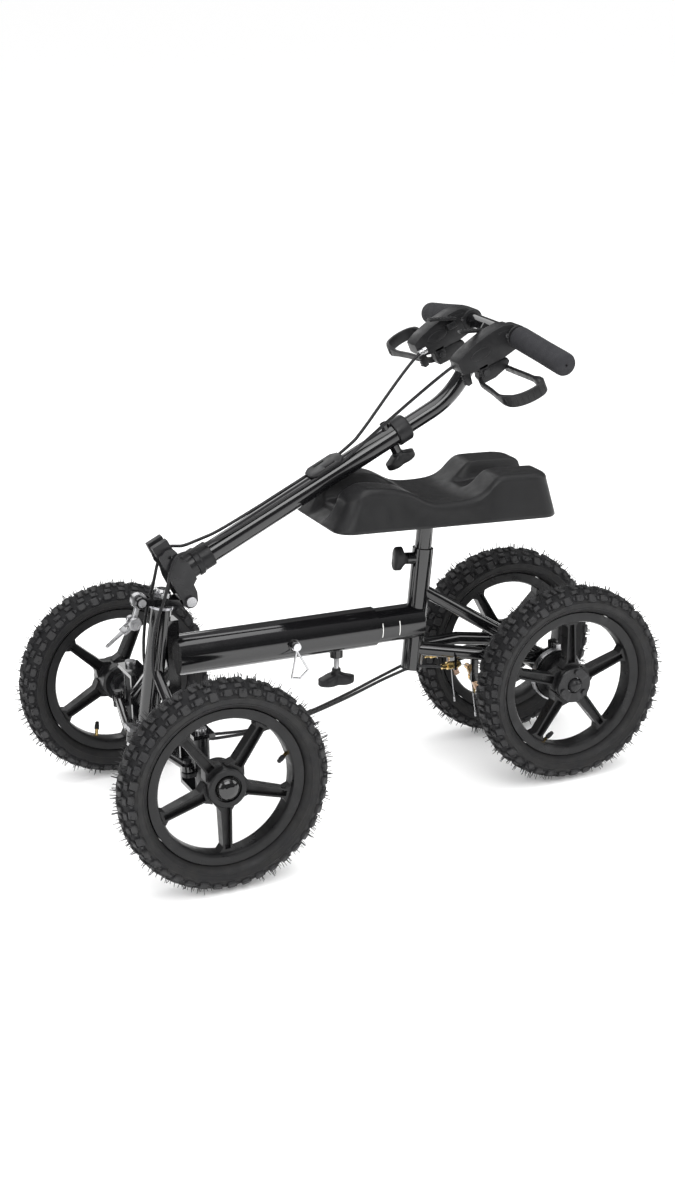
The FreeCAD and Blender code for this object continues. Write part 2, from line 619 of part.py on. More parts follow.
def steering_nut():
    """The nut and dome that hold the plate to the shaft."""
    hexagon = make("Part::Prism", "nut_hexagon", HEAD * Placement(spot((0, 0, "plate_top + 0.1")),
                                                                  Rotation()),
                   Circumradius=12.5, Height=8)
    hexagon.Polygon = 6
    dome = cylinder("nut_dome", HEAD, 9.5, 13, at=(0, 0, "plate_top + 0.1"))
    hole = cylinder("nut_bore", HEAD, "shaft_radius + 0.02", 10, at=(0, 0, "plate_top - 5.5"))
    label(cut("steering_nut_piece", joined("steering_nut_solids", [hexagon, dome]), [hole]), "steering_nut")


def hinge_bolts():
    """The bolt of the fold hinge and the bolt of the latch fork."""
    bolts = []
    ends = (("rear", "-pivot_behind", "pivot_height", "cheek_outside + 0.3", 7.5, 5),
            ("front", "latch_ahead", "latch_height", "plate_half_width + 0.2", 6, 1.8))
    for name, x, z, inside, head_radius, head in ends:
        bolts.append(joined(f"hinge_bolt_{name}", [
            across(f"hinge_shank_{name}", HEAD, "bolt_radius", (x, 0, z), f"2 * ({inside})"),
            cylinder(f"hinge_head_{name}", HEAD, head_radius, head, at=(x, inside, z), along="Y"),
            cylinder(f"hinge_nut_{name}", HEAD, head_radius, head, at=(x, f"-({inside})", z), along="-Y"),
        ]))
    label(grouped("hinge_bolt_pair", bolts), "hinge_bolts")


def tie_rods():
    """Each rod runs from the pitman stud to the stud of its knuckle arm."""
    levels = {"left": "pitman_level + 11", "right": "pitman_level + 20"}
    for name, side in SIDES.items():
        inner_local = spot(("steer_arm", 0, f"-({levels[name]})"))
        inner = HEAD.multVec(inner_local)
        outer = spot(("half_wheelbase + steer_arm", f"{side} * kingpin_side", "knuckle_arm_z + 10"))
        run = outer - inner
        start = inner + run * (6 / run.Length)
        finish = outer - run * (6 / run.Length)
        neck = inner + run * (20 / run.Length)
        inner_eye = HEAD * Placement(inner_local, Rotation())
        outer_eye = Placement(outer, Rotation())
        low = Placement(Vector(0, 0, -size("eye_height") / 2), Rotation())
        deep = Placement(Vector(0, 0, -20), Rotation())
        solids = [
            make("Part::Cylinder", f"inner_eye_{name}", inner_eye * low, Radius="eye_radius",
                 Height="eye_height"),
            make("Part::Cylinder", f"outer_eye_{name}", outer_eye * low, Radius="eye_radius",
                 Height="eye_height"),
            rod(f"rod_neck_{name}", GROUND, "rod_neck_radius", tuple(start), tuple(neck)),
            rod(f"rod_body_{name}", GROUND, "rod_radius", tuple(neck), tuple(finish)),
        ]
        holes = [
            make("Part::Cylinder", f"inner_eye_hole_{name}", inner_eye * deep,
                 Radius="stud_radius + running_gap", Height=40),
            make("Part::Cylinder", f"outer_eye_hole_{name}", outer_eye * deep, Radius="stud_radius + 0.5",
                 Height=40),
        ]
        label(cut(f"tie_rod_piece_{name}", joined(f"tie_rod_solids_{name}", solids), holes),
              f"tie_rod_{name}")


def knuckles():
    """Each knuckle turns on its kingpin and carries a stub axle and a steering arm."""
    for name, side in SIDES.items():
        place = f"{side} * kingpin_side"
        outward = "Y" if side > 0 else "-Y"
        stud = ("half_wheelbase + steer_arm", place, "knuckle_arm_z - 3")
        solids = [
            cylinder(f"knuckle_tube_{name}", GROUND, 11, "yoke_top - yoke_bottom - 2 * yoke_plate - 2",
                     at=("half_wheelbase", place, "yoke_bottom + yoke_plate + 1")),
            cylinder(f"stub_axle_{name}", GROUND, "axle_radius", "front_half_track - kingpin_side + 7",
                     at=("half_wheelbase", f"{side} * (kingpin_side + 6.5)", "tyre_radius"), along=outward),
            cylinder(f"stub_flange_{name}", GROUND, 15, 6,
                     at=("half_wheelbase", f"{side} * (kingpin_side + 38)", "tyre_radius"), along=outward),
            cylinder(f"stub_root_{name}", GROUND, 12, 20,
                     at=("half_wheelbase", f"{side} * (kingpin_side + 6.5)", "tyre_radius"), along=outward),
            block(f"knuckle_arm_{name}", GROUND, ("half_wheelbase + 6", f"{place} - 8", "knuckle_arm_z - 3"),
                  ("half_wheelbase + steer_arm", f"{place} + 8", "knuckle_arm_z + 3")),
            cylinder(f"knuckle_arm_end_{name}", GROUND, 8, 6, at=stud),
            cylinder(f"knuckle_stud_{name}", GROUND, "stud_radius", 24, at=stud),
            cylinder(f"knuckle_stud_nut_{name}", GROUND, 6, 4,
                     at=("half_wheelbase + steer_arm", place, "knuckle_arm_z + 17.5")),
        ]
        hole = cylinder(f"knuckle_bore_{name}", GROUND, "kingpin_radius + running_gap", 120,
                        at=("half_wheelbase", place, "yoke_bottom - 10"))
        label(cut(f"knuckle_piece_{name}", joined(f"knuckle_solids_{name}", solids), [hole]),
              f"knuckle_{name}")


# ---- latch -------------------------------------------------------------------------------------

def swing_bolt():
    """The eye bolt that swings up into the column's latch cover."""
    eye = tuple(HEAD.multVec(spot(("latch_ahead", 0, "latch_height"))))
    cam = ("cam_x", 0, "cam_z")
    solids = [
        across("swing_eye", GROUND, "swing_eye_radius", eye, "2 * swing_eye_half"),
        rod("swing_shank", GROUND, "swing_shank_radius", eye, cam),
        across("swing_cross_pin", GROUND, "cam_pin_radius", cam, 27),
    ]
    hole = across("swing_eye_hole", GROUND, "bolt_radius + running_gap", eye, 40)
    label(cut("swing_bolt_piece", joined("swing_bolt_solids", solids), [hole]), "swing_bolt")


def latch_lever():
    """The quick-release lever: two cams on the cross pin and one flat handle."""
    cam = tilted(("cam_x", 0, "cam_z"), "lever_slope")
    solids = [
        block("lever_bridge", cam, (10, -12, -3), (22, 12, 3)),
        block("lever_handle", cam, (20, -7, -2), ("lever_length", 7, 2)),
        make("Part::Cylinder", "lever_tip", cam * Placement(spot(("lever_length", 0, -2)), Rotation()),
             Radius=7, Height=4),
    ]
    for name, side in SIDES.items():
        low, high = mirrored_range(side, "swing_eye_half + 0.5", 12)
        solids.append(cylinder(f"cam_{name}", cam, 8, f"({high}) - ({low})", at=(0, low, 0), along="Y"))
        solids.append(block(f"cam_arm_{name}", cam, (0, low, -3), (12, high, 3)))
    hole = across("cam_hole", cam, "cam_pin_radius + running_gap", (0, 0, 0), 40)
    label(cut("latch_lever_piece", joined("latch_lever_solids", solids), [hole]), "latch_lever")


# ---- column ------------------------------------------------------------------------------------

def hinge_block():
    """The cast foot of the column; its two cheeks straddle the base plate."""
    side_outline = [
        (-11, 0), (-6, 10), (6, 15), (19, 16), (24, 24), (54, 24), (60, 15), (84, 14), (84, -9), (66, -11),
        (56, -8), (39, -11), (15, -11), (5, -10),
    ]
    solids = [
        profiled("foot", COLUMN, side_outline, "2 * cheek_outside"),
        across("foot_ear", COLUMN, 11, (0, 0, 0), "2 * cheek_outside"),
        across("foot_nose", COLUMN, 12.5, ("latch_reach", 0, 4), "2 * cheek_outside"),
        cylinder("foot_socket", COLUMN, "collar_radius", 12, at=("column_offset", 0, 22)),
    ]
    holes = [
        block("foot_gap", COLUMN, (-30, "-cheek_inside", -30), (110, "cheek_inside", "foot_floor")),
        across("foot_hinge_hole", COLUMN, "bolt_radius + running_gap", (0, 0, 0), 60),
        across("foot_nose_hole", COLUMN, 3.2, ("latch_reach", 0, 4), 60),
        cylinder("foot_socket_hole", COLUMN, "column_radius + 0.02", 40,
                 at=("column_offset", 0, "column_start")),
    ]
    label(cut("hinge_block_piece", joined("hinge_block_solids", solids), holes), "hinge_block")


def latch_cover():
    """The moulded stop between the cheeks that the swing bolt closes over."""
    cover = block("cover", COLUMN, (80.5, "-cover_half", -11), (98, "cover_half", 14))
    slots = [
        block("cover_slot", COLUMN, (84.5, -6, -20), (110, 6, 30)),
        block("cover_relief", COLUMN, (70, -6, -20), (110, 6, 7)),
    ]
    label(cut("latch_cover_piece", cover, slots), "latch_cover")


def column_tube():
    """The lower column tube with its clamp-screw boss below and a nub above."""
    middle = ("column_offset", 0, "column_knob_station")
    solids = [
        cylinder("column_outer", COLUMN, "column_radius", "column_end - column_start - 0.1",
                 at=("column_offset", 0, "column_start + 0.1")),
        cylinder("column_boss", COLUMN, 7.5, "column_boss_reach", at=middle, along="-X"),
        cylinder("column_nub", COLUMN, 6, "column_radius + 8", at=middle, along="X"),
    ]
    holes = [
        cylinder("column_bore", COLUMN, "column_bore", "column_end",
                 at=("column_offset", 0, "column_start + 4")),
        cylinder("column_screw_hole", COLUMN, "screw_radius + running_gap", 40, at=middle, along="-X"),
    ]
    label(cut("column_tube_piece", joined("column_solids", solids), holes), "column_tube")


def column_collar():
    section = [
        ("column_radius + 0.02", 34.2), ("collar_radius + 2", 34.2), ("collar_radius + 2", 42),
        ("collar_radius", 44),
        ("collar_radius", 62), ("column_radius + 0.02", 62),
    ]
    where = COLUMN * Placement(spot(("column_offset", 0, 0)), Rotation())
    label(turned("column_collar_piece", where, section), "column_collar")


def column_clamp():
    """The stepped ring at the top of the column tube, around the handlebar stem."""
    section = [
        ("column_radius + 0.02", "clamp_start"), ("collar_radius + 1", "clamp_start"),
        ("collar_radius + 1", "clamp_end - 3"), ("collar_radius - 1", "clamp_end"),
        ("column_bore", "clamp_end"), ("column_bore", "column_end + 0.1"),
        ("column_radius + 0.02", "column_end + 0.1"),
    ]
    where = COLUMN * Placement(spot(("column_offset", 0, 0)), Rotation())
    label(turned("column_clamp_piece", where, section), "column_clamp")


def column_knob():
    reach = "column_offset - column_boss_reach - 3"
    knob = wing_knob("column_knob", COLUMN, (reach, 0, "column_knob_station"), "-X", "column_knob_reach",
                     f"column_offset - stem_radius - 0.3 - ({reach})")
    label(knob, "column_clamp_knob")


def cable_guide():
    """The slotted plate on top of the column that keeps the brake cables together."""
    low, high = "guide_station - guide_half_length", "guide_station + guide_half_length"
    top = "column_offset + column_radius + 0.2"
    plate = block("guide_plate", COLUMN, (top, "-guide_half_width", low),
                  (f"{top} + 4", "guide_half_width", high))
    slots = []
    for name, side in SIDES.items():
        slot = mirrored_range(side, 8, 13)
        slots.append(block(f"guide_slot_{name}", COLUMN, (f"{top} - 5", slot[0], f"{low} + 8"),
                           (f"{top} + 10", slot[1], f"{high} - 8")))
    label(cut("cable_guide_piece", plate, slots), "cable_guide")


# ---- handlebar ---------------------------------------------------------------------------------

def handlebar():
    """Stem, bend and cross bar in one welded tube."""
    bend_centre = COLUMN * Placement(spot(("column_offset + bend_radius", 0, "bend_start")),
                                     Rotation(Vector(-1, 0, 0), Vector(0, 0, 1), Vector(0, 1, 0), "ZXY"))
    bend = make("Part::Torus", "stem_bend", bend_centre, Radius1="bend_radius", Radius2="stem_radius",
                Angle3="bend_angle")
    bend_end = bend_centre.multVec(Rotation(Vector(0, 0, 1), size("bend_angle")).multVec(
        spot(("bend_radius", 0, 0))))
    solids = [
        cylinder("stem", COLUMN, "stem_radius", "bend_start - stem_start",
                 at=("column_offset", 0, "stem_start")),
        bend,
        rod("stem_top", GROUND, "stem_radius", tuple(bend_end), ("bar_x", 0, "bar_z")),
        across("bar_middle", BAR, "bar_radius", (0, 0, 0), "2 * bar_straight"),
    ]
    bores = [across("bar_bore_middle", BAR, "bar_bore", (0, 0, 0), "2 * bar_straight")]
    for name in SIDES:
        end = bar_end_frame(name)
        solids.append(make("Part::Sphere", f"bar_elbow_{name}", end, Radius="bar_radius"))
        solids.append(cylinder(f"bar_end_{name}", end, "bar_radius", "bar_end_length"))
        bores.append(cylinder(f"bar_bore_end_{name}", end, "bar_bore", "bar_end_length + 1"))
    label(cut("handlebar_piece", joined("handlebar_solids", solids), bores), "handlebar")


def bar_end_frame(name):
    """A frame at the bar's elbow with Z along the drooping end."""
    side = SIDES[name]
    lean = side * (90 + size("bar_droop"))
    return BAR * Placement(spot((0, f"{side} * bar_straight", 0)), Rotation(Vector(1, 0, 0), -lean))


def grips():
    rings = []
    for name in SIDES:
        end = bar_end_frame(name)
        outer = cylinder(f"grip_outer_{name}", end, "grip_radius", "bar_end_length + 3", at=(0, 0, 1))
        inner = cylinder(f"grip_inner_{name}", end, "bar_radius + 0.02", "bar_end_length + 0.2")
        rings.append(cut(f"grip_{name}", outer, [inner]))
    label(grouped("grip_pair", rings), "grips")


def lever_housings():
    """Each housing clamps around the bar and is hollow below for its lever."""
    side_outline = [
        (0, 22), (18, 26), (48, 24), (70, 21), (97, 11), (98, -2), (81, -14), (52, -17), (30, -18), (3, -14),
    ]
    housings = []
    for name, side in SIDES.items():
        frame = side_frame(BAR, side * size("housing_side"))
        width = "2 * housing_half_width"
        solids = [
            profiled(f"housing_body_{name}", frame, side_outline, width),
            across(f"housing_clamp_{name}", frame, "grip_radius", (0, 0, 0), width),
            across(f"lever_cheeks_{name}", frame, 7.5, ("lever_pivot_x", 0, "lever_pivot_z + 1"), width),
            across(f"tab_cheeks_{name}", frame, 5.5, ("tab_pivot_x", 0, "tab_pivot_z"), 20),
        ]
        holes = [
            across(f"housing_bore_{name}", frame, "bar_radius + 0.02", (0, 0, 0), 60),
            block(f"housing_hollow_{name}", frame, (15, "3 - housing_half_width", -40),
                  (81, "housing_half_width - 3", 5)),
            across(f"lever_pivot_hole_{name}", frame, "lever_pin_radius + 0.02",
                   ("lever_pivot_x", 0, "lever_pivot_z"), 60),
            block(f"tab_slot_{name}", frame, (75, "-tab_half - 0.5", -25), (105, "tab_half + 0.5", -3)),
            across(f"tab_pin_hole_{name}", frame, 2.05, ("tab_pivot_x", 0, "tab_pivot_z"), 26),
        ]
        housings.append(cut(f"housing_{name}", joined(f"housing_solids_{name}", solids), holes))
    label(grouped("housing_pair", housings), "lever_housings")


def lever_pivots():
    bolts = []
    for name, side in SIDES.items():
        frame = side_frame(BAR, side * size("housing_side"))
        place = ("lever_pivot_x", 0, "lever_pivot_z")
        bolts.append(joined(f"lever_bolt_{name}", [
            across(f"lever_bolt_shank_{name}", frame, "lever_pin_radius", place,
                   "2 * housing_half_width + 2"),
            cylinder(f"lever_bolt_head_{name}", frame, 5, 3,
                     at=("lever_pivot_x", "housing_half_width + 0.1", "lever_pivot_z"), along="Y"),
            cylinder(f"lever_bolt_nut_{name}", frame, 5, 3,
                     at=("lever_pivot_x", "-housing_half_width - 0.1", "lever_pivot_z"), along="-Y"),
        ]))
    label(grouped("lever_bolt_pair", bolts), "lever_pivots")


def brake_levers():
    """A root inside the housing and a closed loop that reaches out under the grip."""
    for name, side in SIDES.items():
        frame = side_frame(BAR, side * size("housing_side"))
        inner, outer = side * 4, side * 138
        band = mirrored_range(side, 131, 143)
        solids = [
            block(f"lever_root_{name}", frame, (22, "-lever_half", -40), (74, "lever_half", -20)),
            rod(f"lever_rear_{name}", frame, 4.5, (30, inner, -36), (38, outer, -31)),
            rod(f"lever_front_{name}", frame, 4.5, (69, inner, -38), (85, outer, -31)),
            block(f"lever_band_{name}", frame, (33, band[0], -39), (90, band[1], -24)),
        ]
        hole = across(f"lever_hole_{name}", frame, "lever_pin_radius + running_gap",
                      ("lever_pivot_x", 0, "lever_pivot_z"), 60)
        label(cut(f"lever_piece_{name}", joined(f"lever_solids_{name}", solids), [hole]),
              f"brake_lever_{name}")


def park_tabs():
    """The small tabs that lock the levers for parking."""
    for name, side in SIDES.items():
        frame = side_frame(BAR, side * size("housing_side"))
        pivot = ("tab_pivot_x", 0, "tab_pivot_z")
        solids = [
            across(f"tab_hub_{name}", frame, 5, pivot, "2 * tab_half"),
            across(f"tab_pin_{name}", frame, 2, pivot, 20),
            block(f"tab_finger_{name}", frame, ("tab_pivot_x - 4", "-tab_half", -34),
                  ("tab_pivot_x + 5", "tab_half", -9)),
        ]
        label(joined(f"tab_piece_{name}", solids), f"park_tab_{name}")


# ---- wheels ------------------------------------------------------------------------------------

def wheel_frame(end, name):
    """A frame at the wheel's centre with Z pointing outboard."""
    side = SIDES[name]
    x = "half_wheelbase" if end == "front" else "-half_wheelbase"
    half_track = "front_half_track" if end == "front" else "rear_half_track"
    return Placement(spot((x, f"{side} * {half_track}", "tyre_radius")),
                     Rotation(Vector(1, 0, 0), -90 * side))


def hub_section(end):
    """The hub's (radius, height) outline; the rear hub also has a brake drum."""
    seat = "bearing_radius + running_gap"
    shoulder_out, shoulder_in = "bearing_out - 0.1", "bearing_in + bearing_width + 0.1"
    inside = [(13, shoulder_out), (13, shoulder_in), (seat, shoulder_in)]
    if end == "front":
        back = [(seat, "-hub_back"), ("hub_radius - 3", "-hub_back"), ("hub_radius", "3 - hub_back")]
        face = [
            ("hub_radius", "hub_face - 2"), ("hub_radius - 2", "hub_face"), (19.6, "hub_face"),
            (19.6, "hub_face - 4"),
            (seat, "hub_face - 4"),
        ]
    else:
        drum_end = "-hub_back - drum_depth + 1"
        back = [
            (seat, "-hub_back"), ("drum_radius - 4", "-hub_back - 2"), ("drum_radius - 4", drum_end),
            ("drum_radius", drum_end), ("drum_radius", "2 - hub_back"), ("hub_radius", "5 - hub_back"),
        ]
        face = [("hub_radius", "hub_face - 4"), (seat, "hub_face - 4")]
    return inside + back + face + [(seat, shoulder_out)]


def spoke(name, where, angle):
    """A tapered spoke that flares at both ends, and the pockets that leave an I-section."""
    turned_frame = where * Placement(Vector(), Rotation(Vector(0, 0, 1), angle - 90))

    def wedge(tag, start_half, end_half, bottom, top, low, high):
        return make("Part::Wedge", f"{name}_{tag}", turned_frame, Ymin=bottom, Ymax=top,
                    Xmin=f"-({start_half})", Xmax=start_half, X2min=f"-({end_half})", X2max=end_half,
                    Zmin=low, Zmax=high, Z2min=low, Z2max=high)

    root, tip = "spoke_root_half", "spoke_tip_half"
    faces = ("-spoke_half_depth", "spoke_half_depth")
    beams = [
        wedge("beam", root, tip, "hub_radius - 3", "rim_inside_radius + 2", *faces),
        wedge("root", f"{root} + spoke_flare", root, "hub_radius - 3", "hub_radius + spoke_flare", *faces),
        wedge("tip", tip, f"{tip} + spoke_flare", "rim_inside_radius - spoke_flare", "rim_inside_radius + 2",
              *faces),
    ]
    pockets = []
    for tag, low, high in (("outer", "spoke_web / 2", "spoke_half_depth + 3"),
                           ("inner", "-spoke_half_depth - 3", "-spoke_web / 2")):
        pockets.append(wedge(tag, f"{root} - spoke_rib", f"{tip} - spoke_rib", "hub_radius + 4",
                             "rim_inside_radius - 4", low, high))
    return beams, pockets


def rim(end, name):
    """Rim, spokes and hub are one casting."""
    where = wheel_frame(end, name)
    tag = f"{end}_{name}"
    half = "rim_half_width"
    rim_section = [
        ("rim_inside_radius", f"6 - {half}"), ("rim_inside_radius + 2", f"2 - {half}"),
        ("rim_inside_radius + 6", f"-{half}"), ("bead_radius - 0.1", f"-{half}"),
        ("bead_radius - 0.1", f"4 - {half}"),
        ("bead_radius - 4", f"9 - {half}"), ("bead_radius - 4", f"{half} - 9"),
        ("bead_radius - 0.1", f"{half} - 4"),
        ("bead_radius - 0.1", half), ("rim_inside_radius + 6", half),
        ("rim_inside_radius + 2", f"{half} - 2"),
        ("rim_inside_radius", f"{half} - 6"),
    ]
    beams, pockets = [], []
    for number in range(int(size("spoke_count"))):
        angle = SPOKE_START[tag] + number * 360 / size("spoke_count")
        pieces, pair = spoke(f"spoke_{tag}_{number}", where, angle)
        beams += pieces
        pockets += pair
    spokes = cut(f"spokes_{tag}", joined(f"spoke_set_{tag}", beams), pockets)
    solids = [
        turned(f"rim_ring_{tag}", where, rim_section),
        turned(f"hub_{tag}", where, hub_section(end)),
        spokes,
    ]
    piece = joined(f"casting_{tag}", solids)
    if end == "rear":
        piece = cut(f"casting_cut_{tag}", piece, hub_bolt_cylinders(f"hub_hole_{tag}", where, 2.6,
                                                                    "hub_face - 16", 20))
    label(piece, f"rim_{tag}")


def hub_bolt_cylinders(name, where, radius, bottom, length):
    """One cylinder at each of the three bolts of a rear hub disc."""
    places = []
    for number in range(3):
        angle = HUB_BOLT_START + number * 120
        radial = Rotation(Vector(0, 0, 1), angle).multVec(spot(("hub_bolt_circle", 0, 0)))
        local = Placement(radial + spot((0, 0, bottom)), Rotation())
        places.append(make("Part::Cylinder", f"{name}_{number}", where * local, Radius=radius,
                           Height=length))
    return places


def tyre(end, name):
    """A hollow pneumatic tyre that is open at its beads."""
    half = "tyre_half_width"
    outside = [
        ("bead_radius", 15), ("bead_radius + 4", f"{half} - 8"), ("bead_radius + 12", f"{half} - 2"),
        ("bead_radius + 20", half), ("tyre_radius - 8.5", f"{half} - 3"),
        ("tyre_radius - 2", f"{half} - 12"),
        ("tyre_radius", f"{half} - 22"),
    ]
    inside = [
        ("tyre_radius - 6", 8), ("tyre_radius - 8", f"{half} - 14"), ("tyre_radius - 12", f"{half} - 8"),
        ("bead_radius + 20", f"{half} - 5"), ("bead_radius + 12", f"{half} - 7"),
        ("bead_radius + 6", f"{half} - 14"),
        ("bead_radius", 9),
    ]
    section = outside + [(radius, f"-({height})") for radius, height in reversed(outside)]
    section += [(radius, f"-({height})") for radius, height in reversed(inside)] + inside
    label(turned(f"tyre_piece_{end}_{name}", wheel_frame(end, name), section), f"tyre_{end}_{name}")


def bearings(end, name):
    rings = []
    where = wheel_frame(end, name)
    for place in ("bearing_out", "bearing_in"):
        tag = f"{place}_{end}_{name}"
        section = [
            ("axle_radius + running_gap", place), ("bearing_radius", place),
            ("bearing_radius", f"{place} + bearing_width"),
            ("axle_radius + running_gap", f"{place} + bearing_width"),
        ]
        rings.append(turned(tag, where, section))
    label(grouped(f"bearing_pair_{end}_{name}", rings), f"bearings_{end}_{name}")


def hub_cap(end, name):
    """A domed cap in the front hub; a bolted disc with an open centre on the rear hub."""
    where = wheel_frame(end, name)
    tag = f"{end}_{name}"
    if end == "front":
        section = [
            (0, 14.2), ("bearing_radius - 0.1", 14.2), ("bearing_radius - 0.1", 19), (16.5, 21.5),
            (14.5, 24.5),
            (11, 27), (6, 28.8), (0, 29.4),
        ]
        label(turned(f"hub_cap_piece_{tag}", where, section), f"hub_cap_{tag}")
        return
    section = [
        ("nut_radius + 1.5", "hub_face - 3.9"), ("hub_radius - 1", "hub_face - 3.9"),
        ("hub_radius - 1", "hub_face - 1"),
        ("hub_radius - 2", "hub_face"), ("nut_radius + 1.5", "hub_face"),
    ]
    solids = [turned(f"hub_disc_{tag}", where, section)]
    solids += hub_bolt_cylinders(f"hub_bolt_{tag}", where, 2.5, "hub_face - 15", 18)
    solids += hub_bolt_cylinders(f"hub_bolt_head_{tag}", where, 4.5, "hub_face - 1", 4)
    label(joined(f"hub_cap_piece_{tag}", solids), f"hub_cap_{tag}")


# the turn of each wheel's first spoke about its axle, and of the first rear hub bolt, in degrees
SPOKE_START = {"front_left": 90, "front_right": 43, "rear_left": -90, "rear_right": 62}
HUB_BOLT_START = 20

front_frame()
head_bearings()
kingpins()
beam_sleeves()
beam_knob()
hitch_pin()
pin_bail()
rear_frame()
rear_axle()
axle_nuts()
brake_bands()
cable_adjusters()
brake_arms()
seat_post()
seat_plate()
seat_cushion()
seat_bolts()
seat_knob()
steering_shaft()
base_plate()
steering_nut()
hinge_bolts()
tie_rods()
knuckles()
swing_bolt()
latch_lever()
hinge_block()
latch_cover()
column_tube()
column_collar()
column_clamp()
column_knob()
cable_guide()
handlebar()
grips()
lever_housings()
lever_pivots()
brake_levers()
park_tabs()
for axle_end in ("front", "rear"):
    for side_name in SIDES:
        rim(axle_end, side_name)
        tyre(axle_end, side_name)
        bearings(axle_end, side_name)
        hub_cap(axle_end, side_name)

doc.recompute()

for item in doc.Objects:
    if "Invalid" in item.State or "Error" in item.State:
        raise RuntimeError(f"{item.Name} did not recompute: {item.State}")
for node in NODES:
    if node.Shape.isNull() or not node.Shape.isValid():
        raise RuntimeError(f"{node.Label} has no valid shape")
for node in NODES:
    node.Shape.exportStep(f"parts/{node.Label}.step")
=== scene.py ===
"""The looks of the folding knee scooter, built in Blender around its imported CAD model. Metres."""

import json
import math
import random

import bmesh
import bpy
import numpy as np
from mathutils import Matrix, Vector


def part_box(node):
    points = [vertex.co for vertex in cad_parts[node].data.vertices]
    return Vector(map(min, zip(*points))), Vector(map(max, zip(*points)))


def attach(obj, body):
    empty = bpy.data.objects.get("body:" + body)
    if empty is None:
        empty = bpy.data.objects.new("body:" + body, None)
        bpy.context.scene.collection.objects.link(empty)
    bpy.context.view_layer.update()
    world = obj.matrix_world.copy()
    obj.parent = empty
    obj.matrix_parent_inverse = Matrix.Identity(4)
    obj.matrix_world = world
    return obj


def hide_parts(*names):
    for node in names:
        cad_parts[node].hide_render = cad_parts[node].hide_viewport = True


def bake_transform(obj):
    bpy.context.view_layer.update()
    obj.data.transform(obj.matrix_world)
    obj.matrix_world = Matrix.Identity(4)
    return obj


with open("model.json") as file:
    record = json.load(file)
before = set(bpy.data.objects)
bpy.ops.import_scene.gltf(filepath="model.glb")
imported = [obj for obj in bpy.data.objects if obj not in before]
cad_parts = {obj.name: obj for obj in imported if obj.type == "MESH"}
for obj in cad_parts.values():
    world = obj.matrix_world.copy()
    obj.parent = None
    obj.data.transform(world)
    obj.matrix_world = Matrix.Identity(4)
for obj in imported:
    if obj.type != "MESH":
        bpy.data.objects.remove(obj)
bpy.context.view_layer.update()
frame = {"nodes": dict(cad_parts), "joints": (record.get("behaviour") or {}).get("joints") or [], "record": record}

MM = 0.001
JOINTS = {joint["name"]: joint for joint in frame["joints"]}
NODES = frame["nodes"]


# ---- frames taken from the CAD model's joints ---------------------------------------------------

def axes_frame(origin, x, z):
    """A frame at a point with the given X and Z directions, whose lengths are millimetres."""
    x_axis, z_axis = Vector(x).normalized(), Vector(z).normalized()
    y_axis = z_axis.cross(x_axis).normalized()
    matrix = Matrix((x_axis, y_axis, z_axis)).transposed().to_4x4()
    matrix.translation = Vector(origin)
    return matrix @ Matrix.Scale(MM, 4)


def tilt(degrees):
    """The X and Z directions of a frame whose front is turned down by an angle."""
    angle = math.radians(degrees)
    return (math.cos(angle), 0, -math.sin(angle)), (math.sin(angle), 0, math.cos(angle))


def joint_at(name):
    """Where a joint is, in metres."""
    return Vector(JOINTS[name]["pos_m"])


def joint_axis(name):
    """The direction that a joint turns about or slides along."""
    return Vector(JOINTS[name]["axis"])


def turned_frame(base, at, z_way, x_way):
    """A frame at a point of another, with Z and X along two of its directions."""
    z_axis, x_axis = Vector(z_way), Vector(x_way)
    local = Matrix((x_axis, z_axis.cross(x_axis), z_axis)).transposed().to_4x4()
    local.translation = Vector(at)
    return base @ local


GROUND = Matrix.Scale(MM, 4)
STEER_AXIS = joint_axis("steer")
HEAD = axes_frame(joint_at("steer"), Vector((0, 1, 0)).cross(STEER_AXIS), STEER_AXIS)
COLUMN = axes_frame(joint_at("column_fold"), joint_axis("column_knob_turn"), joint_axis("handlebar_height"))
HOUSING_TILT = 22.33
BAR_X, BAR_Z = (Vector(axis) for axis in tilt(HOUSING_TILT))
LEVER_PIVOT = Vector((65, 0, -24))
bar_middle = (joint_at("lever_left_squeeze") + joint_at("lever_right_squeeze")) / 2
BAR = axes_frame(bar_middle - MM * (LEVER_PIVOT.x * BAR_X + LEVER_PIVOT.z * BAR_Z), BAR_X, BAR_Z)
BEAM = axes_frame(joint_at("beam_knob_turn"), joint_axis("wheelbase_slide"), joint_axis("beam_knob_turn"))
POST = axes_frame(joint_at("seat_knob_turn"), joint_axis("seat_knob_turn"), joint_axis("seat_height"))
SIDES = {"left": 1, "right": -1}


# ---- mesh helpers ------------------------------------------------------------------------------

def finish_mesh(name, verts, faces, matrix, material, body=None, smooth=40, bevel=0.0, slot=None):
    """Makes the object from points in a frame, shades it, and lets it ride on its body."""
    mesh = bpy.data.meshes.new(name)
    mesh.from_pydata([matrix @ Vector(v) for v in verts], [], [tuple(f) for f in faces])
    mesh.update()
    work = bmesh.new()
    work.from_mesh(mesh)
    bmesh.ops.remove_doubles(work, verts=work.verts, dist=1e-6)
    bmesh.ops.recalc_face_normals(work, faces=work.faces)
    work.to_mesh(mesh)
    work.free()
    obj = bpy.data.objects.new(name, mesh)
    bpy.context.scene.collection.objects.link(obj)
    mesh.materials.append(material)
    if bevel:
        add_bevel(obj, bevel)
    shade(obj, smooth)
    if body:
        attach(obj, body)
    return obj


def add_bevel(obj, width, segments=3, angle=32):
    modifier = obj.modifiers.new("bevel", "BEVEL")
    modifier.width = width * MM
    modifier.segments = segments
    modifier.limit_method = "ANGLE"
    modifier.angle_limit = math.radians(angle)


